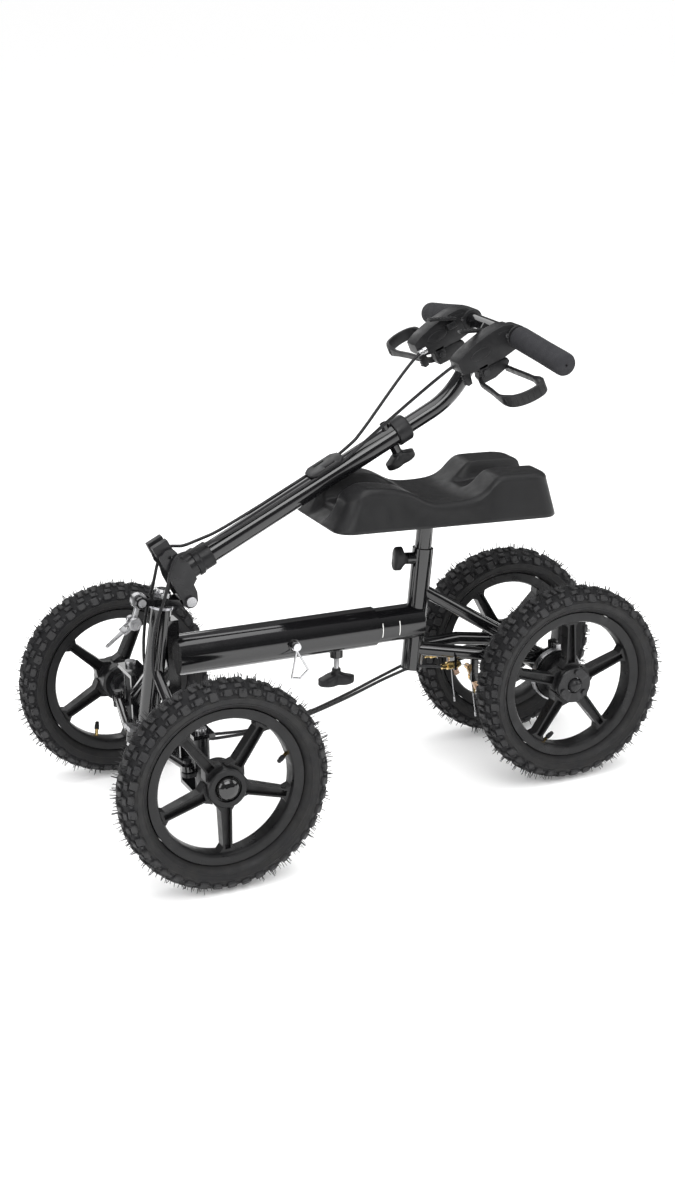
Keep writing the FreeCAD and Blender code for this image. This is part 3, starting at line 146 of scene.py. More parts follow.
def shade(obj, degrees):
    """Smooth shading with the edges sharper than an angle kept sharp."""
    mesh = obj.data
    mesh.polygons.foreach_set("use_smooth", [True] * len(mesh.polygons))
    if degrees < 180 and not obj.modifiers:
        mesh.set_sharp_from_angle(angle=math.radians(degrees))


def grid_faces(rows, columns, wrap_rows, wrap_columns):
    """Quads over a grid of points numbered row by row."""
    faces = []
    for row in range(rows if wrap_rows else rows - 1):
        for column in range(columns if wrap_columns else columns - 1):
            next_row, next_column = (row + 1) % rows, (column + 1) % columns
            faces.append((row * columns + column, row * columns + next_column,
                          next_row * columns + next_column, next_row * columns + column))
    return faces


def lathe_points(profile, segments):
    """A (radius, height) profile repeated round the Z axis."""
    verts = []
    for step in range(segments):
        angle = 2 * math.pi * step / segments
        for radius, height in profile:
            verts.append((radius * math.cos(angle), radius * math.sin(angle), height))
    return verts


def lathe(name, profile, matrix, material, body, segments=72, smooth=35, closed=False, **options):
    """A surface turned about its frame's Z axis from (radius, height) points."""
    verts = lathe_points(profile, segments)
    faces = grid_faces(segments, len(profile), True, closed)
    return finish_mesh(name, verts, faces, matrix, material, body, smooth, **options)


def curve_points(points, steps):
    """A smooth line through the points, as an array."""
    points = [np.array(p, float) for p in points]
    padded = [2 * points[0] - points[1]] + points + [2 * points[-1] - points[-2]]
    line = []
    for index in range(1, len(padded) - 2):
        a, b, c, d = padded[index - 1:index + 3]
        for step in range(steps):
            t = step / steps
            line.append(0.5 * (2 * b + (c - a) * t + (2 * a - 5 * b + 4 * c - d) * t * t
                               + (3 * b - a - 3 * c + d) * t ** 3))
    line.append(points[-1])
    return np.array(line)


def sweep_points(line, section, up=(0, 0, 1)):
    """Carries a section along a line. section(t) gives (sideways, upward) points at fraction t."""
    last = len(line) - 1
    verts = []
    for index in range(len(line)):
        before = line[max(index - 1, 0)]
        after = line[min(index + 1, last)]
        tangent = Vector(after - before).normalized()
        side = tangent.cross(Vector(up)).normalized()
        above = side.cross(tangent).normalized()
        for sideways, upward in section(index / last):
            verts.append(tuple(Vector(line[index]) + side * sideways + above * upward))
    return verts


def sweep(name, line, section, matrix, material, body, up=(0, 0, 1), **options):
    """A closed-ended solid that a section leaves along a line."""
    verts = sweep_points(line, section, up)
    columns = len(section(0))
    faces = grid_faces(len(line), columns, False, True)
    faces.append(tuple(range(columns)))
    faces.append(tuple(range((len(line) - 1) * columns, len(line) * columns)))
    return finish_mesh(name, verts, faces, matrix, material, body, **options)


def circle(radius, segments):
    """A round section of one size."""
    ring = [(radius * math.cos(2 * math.pi * k / segments), radius * math.sin(2 * math.pi * k / segments))
            for k in range(segments)]
    return lambda t: ring


def rounded_bar(half_width, half_height, corner=1.2, steps=3):
    """A rectangular section with rounded corners."""
    points = []
    for sign_x, sign_y, start in ((1, 1, 0), (-1, 1, 90), (-1, -1, 180), (1, -1, 270)):
        for step in range(steps + 1):
            angle = math.radians(start + 90 * step / steps)
            points.append((sign_x * (half_width - corner) + corner * math.cos(angle),
                           sign_y * (half_height - corner) + corner * math.sin(angle)))
    return points


def tube_up(line):
    """A direction that the line never runs along."""
    run = Vector(line[-1] - line[0])
    return (0, 1, 0) if abs(run.y) < 0.8 * run.length else (0, 0, 1)


def plate(name, outline, low, high, matrix, material, body, bevel=0.8, **options):
    """An outline in the frame's XZ plane, given thickness along Y."""
    count = len(outline)
    verts = [(x, low, z) for x, z in outline] + [(x, high, z) for x, z in outline]
    faces = [tuple(range(count)), tuple(range(count, 2 * count))]
    for index in range(count):
        following = (index + 1) % count
        faces.append((index, following, count + following, count + index))
    return finish_mesh(name, verts, faces, matrix, material, body, bevel=bevel, **options)


def smooth_step(value, low, high):
    """Rises smoothly from 0 to 1 between two values."""
    t = np.clip((value - low) / (high - low), 0, 1)
    return t * t * (3 - 2 * t)


# ---- materials ---------------------------------------------------------------------------------

def node_material(name, color, rough, metallic=0.0, coat=0.0, grain=900, grain_strength=0.1, mottle=0.25,
                  rough_spread=0.12, edge=0.0, tint=None, cells=0, cell_strength=0.0, specular=0.3):
    """A procedural surface: mottled colour, uneven roughness, fine relief and lighter worn edges."""
    material = bpy.data.materials.new(name)
    material.use_nodes = True
    tree = material.node_tree
    nodes, links = tree.nodes, tree.links
    shader = nodes["Principled BSDF"]
    shader.inputs["Metallic"].default_value = metallic
    shader.inputs["Coat Weight"].default_value = coat
    shader.inputs["Coat Roughness"].default_value = 0.06
    shader.inputs["Specular IOR Level"].default_value = specular
    place = nodes.new("ShaderNodeTexCoord").outputs["Object"]

    def noise(scale, detail=4.0):
        node = nodes.new("ShaderNodeTexNoise")
        node.inputs["Scale"].default_value = scale
        node.inputs["Detail"].default_value = detail
        links.new(place, node.inputs["Vector"])
        return node.outputs["Fac"]

    def spread(value, low, high):
        node = nodes.new("ShaderNodeMapRange")
        node.inputs["From Min"].default_value = 0.3
        node.inputs["From Max"].default_value = 0.7
        node.inputs["To Min"].default_value = low
        node.inputs["To Max"].default_value = high
        links.new(value, node.inputs["Value"])
        return node.outputs["Result"]

    def mix(factor, first, second):
        node = nodes.new("ShaderNodeMix")
        node.data_type = "RGBA"
        for value, socket in ((factor, node.inputs[0]), (first, node.inputs[6]), (second, node.inputs[7])):
            if isinstance(value, (tuple, list)):
                socket.default_value = (*value, 1)
            elif isinstance(value, float):
                socket.default_value = value
            else:
                links.new(value, socket)
        return node.outputs[2]

    darker = tuple(channel * (1 - mottle) for channel in color)
    lighter = tuple(channel * (1 + mottle) for channel in color)
    shown = mix(noise(28, 6.0), darker, lighter)
    if tint:
        patches = spread(noise(60, 3.0), 0.0, 1.0)
        shown = mix(patches, shown, tint)
    if edge:
        geometry = nodes.new("ShaderNodeNewGeometry")
        worn = nodes.new("ShaderNodeMapRange")
        worn.inputs["From Min"].default_value = 0.52
        worn.inputs["From Max"].default_value = 0.62
        worn.inputs["To Max"].default_value = edge
        links.new(geometry.outputs["Pointiness"], worn.inputs["Value"])
        pale = tuple(min(1.0, channel * 2.2 + 0.02) for channel in color)
        shown = mix(worn.outputs["Result"], shown, pale)
    links.new(shown, shader.inputs["Base Color"])
    links.new(spread(noise(70, 5.0), max(0.02, rough - rough_spread), rough + rough_spread),
              shader.inputs["Roughness"])
    relief = noise(grain, 3.0)
    bump = nodes.new("ShaderNodeBump")
    bump.inputs["Strength"].default_value = grain_strength
    bump.inputs["Distance"].default_value = 0.0004
    links.new(relief, bump.inputs["Height"])
    if cells:
        cell = nodes.new("ShaderNodeTexVoronoi")
        cell.inputs["Scale"].default_value = cells
        links.new(place, cell.inputs["Vector"])
        second = nodes.new("ShaderNodeBump")
        second.inputs["Strength"].default_value = cell_strength
        second.inputs["Distance"].default_value = 0.0005
        links.new(cell.outputs["Distance"], second.inputs["Height"])
        links.new(bump.outputs["Normal"], second.inputs["Normal"])
        bump = second
    links.new(bump.outputs["Normal"], shader.inputs["Normal"])
    return material


GLOSS = node_material("gloss_black_paint", (0.004, 0.004, 0.0045), 0.12, coat=0.5, grain=420,
                      grain_strength=0.02, rough_spread=0.04, edge=0.2, specular=0.5)
SATIN = node_material("satin_black_paint", (0.011, 0.011, 0.012), 0.32, coat=0.1, grain=1100,
                      grain_strength=0.1, edge=0.3)
PLASTIC = node_material("moulded_plastic", (0.008, 0.008, 0.0088), 0.42, grain=1900, grain_strength=0.2,
                        edge=0.35)
WHEEL = node_material("wheel_casting", (0.007, 0.007, 0.0075), 0.36, grain=1500, grain_strength=0.12,
                      edge=0.3)
RUBBER = node_material("tyre_rubber", (0.009, 0.009, 0.0102), 0.56, grain=1300, grain_strength=0.3,
                       mottle=0.35, tint=(0.014, 0.0135, 0.013), edge=0.35)
# darker rubber for the carcass between the knobs: painted shade, not a colour of the tyre itself
TREAD_SHADE = node_material("tread_floor_painted_shade", (0.006, 0.006, 0.007), 0.75, grain=1300,
                            grain_strength=0.3, mottle=0.4)
SEAT_SKIN = node_material("seat_skin", (0.010, 0.010, 0.0106), 0.42, grain=700, grain_strength=0.16,
                          mottle=0.15, cells=1100, cell_strength=0.16, rough_spread=0.07)
FOAM = node_material("grip_foam", (0.022, 0.022, 0.025), 0.85, grain=2600, grain_strength=0.7, mottle=0.3,
                     cells=2200, cell_strength=0.4)
ZINC = node_material("zinc_steel", (0.42, 0.42, 0.43), 0.3, metallic=1.0, grain=1600, grain_strength=0.08)
CHROME = node_material("bright_chrome", (0.55, 0.55, 0.56), 0.16, metallic=1.0, grain=900,
                       grain_strength=0.02, mottle=0.1, rough_spread=0.05)
GOLD = node_material("gold_zinc", (0.62, 0.44, 0.19), 0.28, metallic=1.0, tint=(0.58, 0.38, 0.33),
                     grain=1400, grain_strength=0.1)
BRASS = node_material("brass", (0.66, 0.48, 0.2), 0.25, metallic=1.0, grain=1300, grain_strength=0.06)
BEARING = node_material("bearing_steel", (0.4, 0.4, 0.42), 0.3, metallic=1.0)
CABLE = node_material("cable_sheath", (0.010, 0.010, 0.011), 0.32, grain=1500, grain_strength=0.08)
MARK = node_material("index_paint", (0.72, 0.72, 0.70), 0.5, grain=1200, grain_strength=0.2, mottle=0.1)
CAP = node_material("gloss_plastic", (0.006, 0.006, 0.006), 0.1, coat=0.5, grain=700, grain_strength=0.02,
                    rough_spread=0.04, specular=0.5)

CAD_LOOKS = {
    "gloss_black_paint": (GLOSS, 0.6), "satin_black_paint": (SATIN, 0.9), "black_plastic": (PLASTIC, 0.9),
    "cast_black_wheel": (WHEEL, 1.2), "tyre_rubber": (RUBBER, 0.8), "seat_skin": (SEAT_SKIN, 2.0),
    "grip_foam": (FOAM, 1.0), "zinc_steel": (ZINC, 0.5), "bright_chrome": (CHROME, 0.4),
    "gold_zinc": (GOLD, 0.5), "brass": (BRASS, 0.4), "bearing_steel": (BEARING, 0.3),
}


def dress_cad_nodes():
    """Gives each carried CAD node its surface and softly rounded edges."""
    slots = {entry["node"]: entry["material_slot"] for entry in frame["record"]["subparts"]}
    for name, obj in NODES.items():
        material, width = CAD_LOOKS[slots[name]]
        if name.startswith("hub_cap_front"):
            material = CAP
        obj.data.materials.clear()
        obj.data.materials.append(material)
        weld = obj.modifiers.new("weld", "WELD")
        weld.merge_threshold = 0.00001
        add_bevel(obj, width, segments=2, angle=35)
        obj.modifiers.new("normals", "WEIGHTED_NORMAL").keep_sharp = False
        obj.data.polygons.foreach_set("use_smooth", [True] * len(obj.data.polygons))


# ---- wheels ------------------------------------------------------------------------------------

# radii and widths in millimetres
BEAD = 114.0
CROWN = BEAD + 34.2
TREAD_BEND = 27.0
CARCASS_SEGMENTS = 120
TREAD_PITCHES = 42
HAIRS = 640
# half the angle about the ground contact that has lost its hairs
HAIRLESS = math.radians(14)
RADIANS_PER_MM = 0.0066


def wheel_frame(end, side_name):
    """A frame at the wheel's centre with Z pointing outboard."""
    side = SIDES[side_name]
    where = Matrix.Translation(joint_at(f"wheel_{end}_{side_name}_spin"))
    return where @ Matrix.Rotation(math.radians(-90 * side), 4, "X") @ Matrix.Scale(MM, 4)


def carcass_profile():
    """The tyre's outside from bead to bead, with the moulding rings of its side walls."""
    bead = [(0.3, 9.0), (1.2, 13.4), (2.2, 17.2), (3.2, 18.6), (3.8, 20.0)]
    lower_ring = [(6.0, 22.4), (8.6, 24.6), (9.0, 25.4), (10.2, 25.7), (10.6, 25.2)]
    upper_ring = [(14.0, 26.6), (17.6, 27.5), (18.0, 28.2), (19.2, 28.2), (19.6, 27.6)]
    shoulder = [(23.0, 26.8), (27.0, 24.4), (30.5, 20.5), (32.6, 15.0), (33.8, 8.0)]
    side = [(BEAD + rise, half) for rise, half in bead + lower_ring + upper_ring + shoulder]
    return side + [(CROWN, 0.0)] + [(radius, -half) for radius, half in reversed(side)]


def tread_spot(angle, across, lift):
    """A point on the tread: across is the distance round the section from the centre line."""
    sign = 1 if across >= 0 else -1
    turn = abs(across) / TREAD_BEND
    radius = CROWN - TREAD_BEND * 0.62 * (1 - math.cos(turn)) + lift * math.cos(turn * 0.85)
    height = sign * (TREAD_BEND * math.sin(min(turn, 1.45)) + lift * math.sin(turn * 0.85))
    return radius * math.cos(angle), radius * math.sin(angle), height


def tread_block(verts, faces, corners, lift, inset):
    """A moulded block: its foot sinks into the carcass, and its top is a little smaller."""
    start = len(verts)
    middle_angle = sum(corner[0] for corner in corners) / len(corners)
    middle_across = sum(corner[1] for corner in corners) / len(corners)
    for height, shrink in ((-1.5, 0.0), (lift - 0.9, inset * 0.5), (lift, inset + 0.12)):
        for angle, across in corners:
            verts.append(tread_spot(angle + (middle_angle - angle) * shrink,
                                    across + (middle_across - across) * shrink, height))
    count = len(corners)
    for level in range(2):
        for index in range(count):
            following = (index + 1) % count
            low = start + level * count
            faces.append((low + index, low + following, low + count + following, low + count + index))
    faces.append(tuple(start + 2 * count + index for index in range(count)))


def tyre_mesh_data(seed, down):
    """Carcass, tread blocks and the rubber hairs that moulding leaves, down being where the ground is."""
    draw = random.Random(seed)
    profile = carcass_profile()
    verts = lathe_points(profile, CARCASS_SEGMENTS)
    faces = grid_faces(CARCASS_SEGMENTS, len(profile), True, False)
    step = 2 * math.pi / TREAD_PITCHES
    for number in range(TREAD_PITCHES):
        base = number * step
        long_one = number % 2 == 0
        for side in (1, -1):
            shift = base + (step / 2 if side < 0 else 0)
            reach = 38.5 if long_one else 34.5
            shoulder = [(shift + step * a, side * c) for a, c in
                        ((0.10, 23), (0.62, 23), (0.70, reach - 3), (0.58, reach), (0.20, reach),
                         (0.06, reach - 3))]
            tread_block(verts, faces, shoulder, 5.2, 0.12)
            notch = [(shift + step * a, side * c) for a, c in
                     ((0.72, 24), (0.92, 26), (0.92, 31), (0.74, 32))]
            tread_block(verts, faces, notch, 2.6, 0.12)
            middle = [(shift + step * a, side * c) for a, c in
                      ((0.30, 11.5), (0.78, 12.5), (0.84, 20.5), (0.34, 20.0))]
            tread_block(verts, faces, middle, 3.9, 0.10)
        centre = [(base + step * a, c) for a, c in
                  ((0.05, -8), (0.40, -8.8), (0.52, 0), (0.40, 8.8), (0.05, 8), (0.16, 0))]
        tread_block(verts, faces, centre, 3.8, 0.08)
        if long_one:
            bar = [(base + step * a, c) for a, c in ((0.62, -7), (0.88, -7), (0.88, 7), (0.62, 7))]
            tread_block(verts, faces, bar, 3.6, 0.10)
    for _ in range(HAIRS):
        angle = draw.uniform(0, 2 * math.pi)
        across = draw.uniform(-38, 38)
        lean_angle, lean_across = draw.uniform(-0.014, 0.014), draw.uniform(-2.0, 2.0)
        length = draw.uniform(7.5, 13.0)
        if abs(angle - down) > HAIRLESS:
            tyre_hair(verts, faces, angle, across, lean_angle, lean_across, length)
    return verts, faces


def tyre_hair(verts, faces, angle, across, lean_angle, lean_across, length):
    """A three-sided tapering hair with a blunt tip."""
    start = len(verts)
    for share, half in ((0, 0.75), (1, 0.4)):
        for turn in range(3):
            wobble = 2 * math.pi * turn / 3
            verts.append(tread_spot(angle + share * lean_angle + half * RADIANS_PER_MM * math.cos(wobble),
                                    across + share * lean_across + half * math.sin(wobble),
                                    0.5 + share * length))
    for turn in range(3):
        following = (turn + 1) % 3
        faces.append((start + turn, start + following, start + 3 + following, start + 3 + turn))
    faces.append((start + 3, start + 4, start + 5))


def build_wheels():
    """Four knobbly tyres with their valves, over the CAD model's wheels."""
    for index, (end, side_name) in enumerate((e, s) for e in ("front", "rear") for s in SIDES):
        where = wheel_frame(end, side_name)
        body = f"wheel_{end}_{side_name}"
        down = math.pi / 2 if side_name == "left" else 3 * math.pi / 2
        verts, faces = tyre_mesh_data(11 + index, down)
        obj = finish_mesh(f"tyre_{end}_{side_name}_knobbly", verts, faces, where, RUBBER, body, smooth=38,
                          slot="tyre_rubber")
        paint_tread_floor_shade(obj)
        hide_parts(f"tyre_{end}_{side_name}")
        build_valve(end, side_name, where, body)


def paint_tread_floor_shade(obj):
    """The carcass between the knobs gets a darker rubber: painted shade standing in for the shadow the knobs cast
    into it.
    """
    obj.data.materials.append(TREAD_SHADE)
    profile = carcass_profile()
    columns = len(profile) - 1
    for face in obj.data.polygons[:CARCASS_SEGMENTS * columns]:
        # the band between the shoulder knobs takes the darker rubber of painted shade
        if profile[face.index % columns][0] > BEAD + 22:
            face.material_index = 1


# where each wheel's valve stands, in degrees about its axle
VALVE_TURN = {"front_left": -163, "front_right": -69, "rear_left": 64, "rear_right": -60}
VALVE_LEAN = 55


def build_valve(end, side_name, where, body):
    """A brass stem with a black cap that leans out of the rim well, towards the hub and outboard."""
    tag = f"{end}_{side_name}"
    turn = where @ Matrix.Rotation(math.radians(VALVE_TURN[tag]), 4, "Z")
    aim = turn @ Matrix.Translation((101, 0, 0)) @ Matrix.Rotation(math.radians(-VALVE_LEAN), 4, "Y")
    stem = [(0, -2), (4.0, -2), (4.0, 1), (2.6, 2.2), (2.6, 14), (2.9, 14.4), (2.4, 15), (0, 15)]
    lathe(f"valve_stem_{tag}", stem, aim, BRASS, body, segments=20, slot="brass")
    cap = [(0, 13), (3.4, 13), (3.7, 14), (3.7, 20), (3.1, 21), (3.1, 24.5), (2.4, 25.4), (0, 25.6)]
    lathe(f"valve_cap_{tag}", cap, aim, PLASTIC, body, segments=20, slot="black_plastic")


# ---- seat --------------------------------------------------------------------------------------

SEAT_TILT = 3.3
SEAT_FRONT, SEAT_REAR, SEAT_HALF = 183.0, 181.0, 88.0
SEAT_CORNER = 26.0


def seat_frame():
    """The cushion's frame, found from the lower front corner of its CAD box."""
    low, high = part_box("seat_cushion")
    x_axis, z_axis = (Vector(axis) for axis in tilt(-SEAT_TILT))
    origin_x = high.x - MM * (SEAT_FRONT * x_axis.x)
    origin_z = low.z - MM * (-SEAT_REAR * x_axis.z + 0.5 * z_axis.z)
    return axes_frame((origin_x, 0, origin_z), x_axis, z_axis)


def seat_top(x, y):
    """Height of the cushion over its underside: two pairs of bolsters with a knee valley between."""
    rear_bolster = [(-181, 65), (-160, 67.2), (-100, 67.5), (-82, 66.8), (-74, 62.5), (-67, 54.5)]
    valley_back = [(-58, 45.5), (-48, 39.5), (-36, 36), (-18, 34.2), (0, 33.8)]
    valley_front = [(15, 34.4), (28, 36.2), (40, 41), (52, 47.5)]
    front_bolster = [(67, 54.5), (85, 59), (110, 62.5), (134, 63.5)]
    front_slope = [(145, 58.5), (154, 53), (162, 48.5), (183, 37)]
    stations, heights = zip(*rear_bolster, *valley_back, *valley_front, *front_bolster, *front_slope)
    z = np.interp(x, stations, heights)
    smooth_x = [np.interp(x + shift, stations, heights) for shift in (-6, -3, 3, 6)]
    z = (z + sum(smooth_x)) / 5
    # a channel runs between each pair of bolsters
    front = smooth_step(x, 18, 70)
    floor = np.interp(x, [10, 110, 187], [34, 31.5, 25])
    front_channel = 1 - smooth_step(np.abs(y), 19, 31)
    z = z - np.maximum(z - floor, 0) * front * front_channel
    rear = smooth_step(-x, 40, 56)
    rear_floor = np.interp(x, [-175, -60], [54, 39])
    rear_channel = 1 - smooth_step(np.abs(y), 13, 25)
    z = z - np.maximum(z - rear_floor, 0) * rear * rear_channel
    # the knee valley is a little lower along its middle
    valley = smooth_step(x, -55, -20) * (1 - smooth_step(x, 25, 75))
    return z - 3.0 * valley * (1 - smooth_step(np.abs(y), 30, 84))


def rounded_rectangle(count, rear, front, half, corner):
    """Evenly spread points round a rectangle with round corners."""
    outline = []
    for sign_x, sign_y, start in ((1, 1, 0), (-1, 1, 90), (-1, -1, 180), (1, -1, 270)):
        centre_x = front - corner if sign_x > 0 else rear + corner
        for step in range(13):
            angle = math.radians(start + 90 * step / 12)
            outline.append((centre_x + corner * math.cos(angle),
                            sign_y * (half - corner) + corner * math.sin(angle)))
    points = np.array(outline + outline[:1])
    lengths = np.concatenate([[0], np.cumsum(np.hypot(*np.diff(points, axis=0).T))])
    wanted = np.linspace(0, lengths[-1], count, endpoint=False)
    return np.stack([np.interp(wanted, lengths, points[:, 0]), np.interp(wanted, lengths, points[:, 1])], 1)


def seat_ring(side, front, rear, height=None, drop=0.0):
    """Points round the cushion at the given insets, at one height or a drop under the shaped top."""
    edge = rounded_rectangle(260, -SEAT_REAR + rear, SEAT_FRONT - front, SEAT_HALF - side,
                             max(SEAT_CORNER - side * 0.4, 8))
    top = seat_top(edge[:, 0], edge[:, 1])
    return np.column_stack([edge, top - drop if height is None else height(top)])


def build_seat():
    """The moulded cushion as rings: underside, drafted side walls, rounded rim, then the shaped top."""
    side_draft, front_draft, rear_draft = 9.8, 21.8, 14.8
    side_lip, front_lip, rear_lip = 10.0, 9.0, 11.0
    lip_drop = 9.0
    rings = [seat_ring(inset, inset, inset, lambda top, z=z: 0 * top + z)
             for inset, z in ((60, 0.6), (12, 0.6), (4.0, 0.6), (1.2, 1.4), (0.2, 3.2))]
    for share in (0.05, 0.2, 0.4, 0.6, 0.8, 1.0):
        rings.append(seat_ring(0.2 + side_draft * share, 0.2 + front_draft * share, 0.2 + rear_draft * share,
                               lambda top, share=share: 4 + (top - 4 - lip_drop) * share))
    for step in range(1, 8):
        angle = math.radians(90 * step / 7)
        along = 1 - math.cos(angle)
        rings.append(seat_ring(0.2 + side_draft + side_lip * along, 0.2 + front_draft + front_lip * along,
                               0.2 + rear_draft + rear_lip * along, drop=lip_drop * (1 - math.sin(angle))))
    for number in range(1, 25):
        inset = 20 + 57 * number / 24
        rings.append(seat_ring(inset, inset + 11, inset + 6))
    spine = rings[-1].copy()
    spine[:, 1] = 0
    spine[:, 2] = seat_top(spine[:, 0], spine[:, 1])
    rings.append(spine)
    verts = [tuple(point) for row in rings for point in row]
    count = len(rings[0])
    faces = grid_faces(len(rings), count, False, True)
    faces.append(tuple(reversed(range(count))))
    obj = finish_mesh("seat_cushion_moulded", verts, faces, seat_frame(), SEAT_SKIN, "seat", smooth=60,
                      slot="seat_skin")
    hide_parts("seat_cushion")


# ---- wing knob ---------------------------------------------------------------------------------

def wing_knob(name, matrix, reach, body):
    """A two-winged moulded knob; the frame's Z points away from the screw."""
    steps = 64
    depth = 17.0
    hub_radius = 8.8
    foot = [(-1.5, 0.55), (0.0, 0.80), (1.5, 0.92), (6.0, 1.0)]
    levels = foot + [(depth - 3, 1.0), (depth - 1, 0.95), (depth, 0.84)]
    verts = []
    for height, scale in levels:
        for step in range(steps):
            angle = 2 * math.pi * step / steps
            wing = abs(math.cos(angle)) ** 2.4
            radius = hub_radius + (reach - hub_radius) * wing
            squeeze = 1 - 0.28 * wing * (height < 3)
            x = radius * math.cos(angle)
            y = radius * math.sin(angle) * (1.12 - 0.25 * wing)
            verts.append((x * scale * squeeze, y * scale, height + (1.0 + 2.8 * (height < 3)) * wing))
    faces = grid_faces(len(levels), steps, False, True)
    faces.append(tuple(reversed(range(steps))))
    faces.append(tuple(range((len(levels) - 1) * steps, len(levels) * steps)))
    knob = finish_mesh(name, verts, faces, matrix, PLASTIC, body, smooth=50, slot="black_plastic")
    neck = [(0, -8), (6.2, -8), (6.8, -6), (6.8, -3), (8.6, -1), (8.6, 1)]
    lathe(name + "_neck", neck, matrix, PLASTIC, body, segments=28, slot="black_plastic")
    return knob


# ---- handlebar ---------------------------------------------------------------------------------

BAR_STRAIGHT = 88.0
BAR_DROOP = 8.85
HOUSING_SIDE = 70.0


def bar_end_frame(side_name):
    """A frame at the bar's elbow, with Z along the drooping end."""
    side = SIDES[side_name]
    turn = math.radians(-side * (90 + BAR_DROOP))
    return BAR @ Matrix.Translation((0, side * BAR_STRAIGHT, 0)) @ Matrix.Rotation(turn, 4, "X")


def housing_frame(side_name):
    """The middle of a lever housing; X runs forward from the bar, Y is outboard on both sides."""
    side = SIDES[side_name]
    return BAR @ Matrix.Translation((0, side * HOUSING_SIDE, 0)) @ Matrix.Diagonal((1, side, 1, 1))


def build_grips():
    """Foam grips with a softly rounded end, a vent hole and a faint waist."""
    profile = [
        (11.3, 1.0), (15.6, 1.0), (16.6, 2.2), (17.0, 5.0), (16.9, 40.0), (16.7, 70.0), (17.0, 104.0),
        (17.0, 118.0), (16.6, 121.6), (15.4, 124.2), (13.0, 125.5), (8.0, 125.9), (2.4, 126.0), (1.8, 125.4),
        (1.6, 122.0), (0.0, 122.0),
    ]
    for name in SIDES:
        grip = lathe(f"grip_foam_{name}", profile, bar_end_frame(name), FOAM, "handlebar", segments=96,
                     smooth=50, slot="grip_foam")
    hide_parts("grips")


HOUSING_SIDE_LINE = [
    (-4, 15), (2, 21), (14, 25.5), (30, 26), (48, 24.5), (66, 21.5), (84, 17), (97, 12), (99.5, 9),
    (99.5, -6), (96, -11), (81, -15), (64, -16.5), (48, -17), (30, -18), (10, -15.5), (2, -14),
]
HOUSING_NOSE = (90, -17, -3)
HOUSING_HALF = 14
LEVER_STEPS = 120
BAR_BORE = 11.15


def moulded_plate(name, outline, low, high, matrix, body, **options):
    """A plate of black moulded plastic."""
    return plate(name, outline, low, high, matrix, PLASTIC, body, slot="black_plastic", **options)


def build_housing(side_name):
    """A hollow moulded shell round the bar, with its clamp ring, side details, flap and cable barrel."""
    where = housing_frame(side_name)
    along_bar = where @ Matrix.Rotation(math.radians(90), 4, "X")
    shell = moulded_plate(f"housing_shell_{side_name}", HOUSING_SIDE_LINE, -HOUSING_HALF, HOUSING_HALF,
                          where, "handlebar", bevel=1.6, smooth=45)
    hollow = [(16, 3), (70, 3), (90, -3), (84, -24), (14, -24)]
    cut_out(shell, plate("housing_hollow", hollow, -10.6, 10.6, where, PLASTIC, None, bevel=0.0))
    bore_line = [(0, -30), (BAR_BORE, -30), (BAR_BORE, 30), (0, 30)]
    cut_out(shell, lathe("housing_bore", bore_line, along_bar, PLASTIC, None))
    ring = [(BAR_BORE, -15), (15.6, -15), (17, -13.6), (17, 13.6), (15.6, 15), (BAR_BORE, 15)]
    lathe(f"housing_clamp_{side_name}", ring, along_bar, PLASTIC, "handlebar", segments=56, closed=True,
          slot="black_plastic")
    for face_name, face in (("in", -1), ("out", 1)):
        build_housing_face(f"{side_name}_{face_name}", where, face)
    nose = where @ Matrix.Translation(HOUSING_NOSE) @ Matrix.Rotation(math.radians(90), 4, "Y")
    barrel = [(2.4, -3), (5.2, -3), (5.2, 3), (4.2, 4), (4.2, 8.5), (3.4, 9.5), (2.4, 9.5)]
    lathe(f"housing_barrel_{side_name}", barrel, nose, ZINC, "handlebar", segments=28, slot="zinc_steel")
    build_housing_flap(side_name, where)
    return shell


def build_housing_face(tag, where, face):
    """An oval pad, a short rib, a pivot ear and a clamp screw on one side of a housing."""
    oval_pad(f"housing_emboss_{tag}", where, (62, 5.0), (17, 7.5), face * 13.4, face * 15.0)
    low, high = sorted((face * 13.6, face * 14.5))
    rib = [(8, 17), (26, 20), (26, 17), (8, 14)]
    moulded_plate(f"housing_rib_{tag}", rib, low, high, where, "handlebar", bevel=0.3)
    low, high = sorted((face * 10.8, face * HOUSING_HALF))
    ear = [(57, -12), (74, -12), (73, -23), (69, -29), (62, -29.5), (58, -24)]
    moulded_plate(f"housing_ear_{tag}", ear, low, high, where, "handlebar", bevel=1.2)
    facing = Matrix.Rotation(math.radians(-90 * face), 4, "X")
    socket = where @ Matrix.Translation((14, face * 13.9, 9)) @ facing
    screw = [(0, 0.6), (1.8, 0.6), (1.8, 1.0), (3.4, 1.0), (3.4, -1)]
    lathe(f"housing_screw_{tag}", screw, socket, ZINC, "handlebar", segments=24, slot="zinc_steel")


def build_housing_flap(side_name, where):
    """The ribbed thumb flap that stands beside the housing, and its root."""
    flap_line = [(-7, -2), (36, -2), (38, 0), (36, 2), (-7, 2)]
    flap = where @ Matrix.Translation((34, -20.5, 22)) @ Matrix.Rotation(math.radians(-24), 4, "Y")
    moulded_plate(f"housing_flap_{side_name}", flap_line, -5, 5, flap, "handlebar", bevel=0.7)
    for rib in range(7):
        low = -2 + rib * 5.4
        bump = [(low, 1.6), (low + 2.6, 1.6), (low + 2.2, 3.0), (low + 0.4, 3.0)]
        moulded_plate(f"housing_flap_rib_{side_name}_{rib}", bump, -4.4, 4.4, flap, "handlebar", bevel=0.3)
    bridge = [(28, 6), (44, 6), (44, 16), (30, 16)]
    moulded_plate(f"housing_flap_root_{side_name}", bridge, -22, -12, where, "handlebar", bevel=1.0)


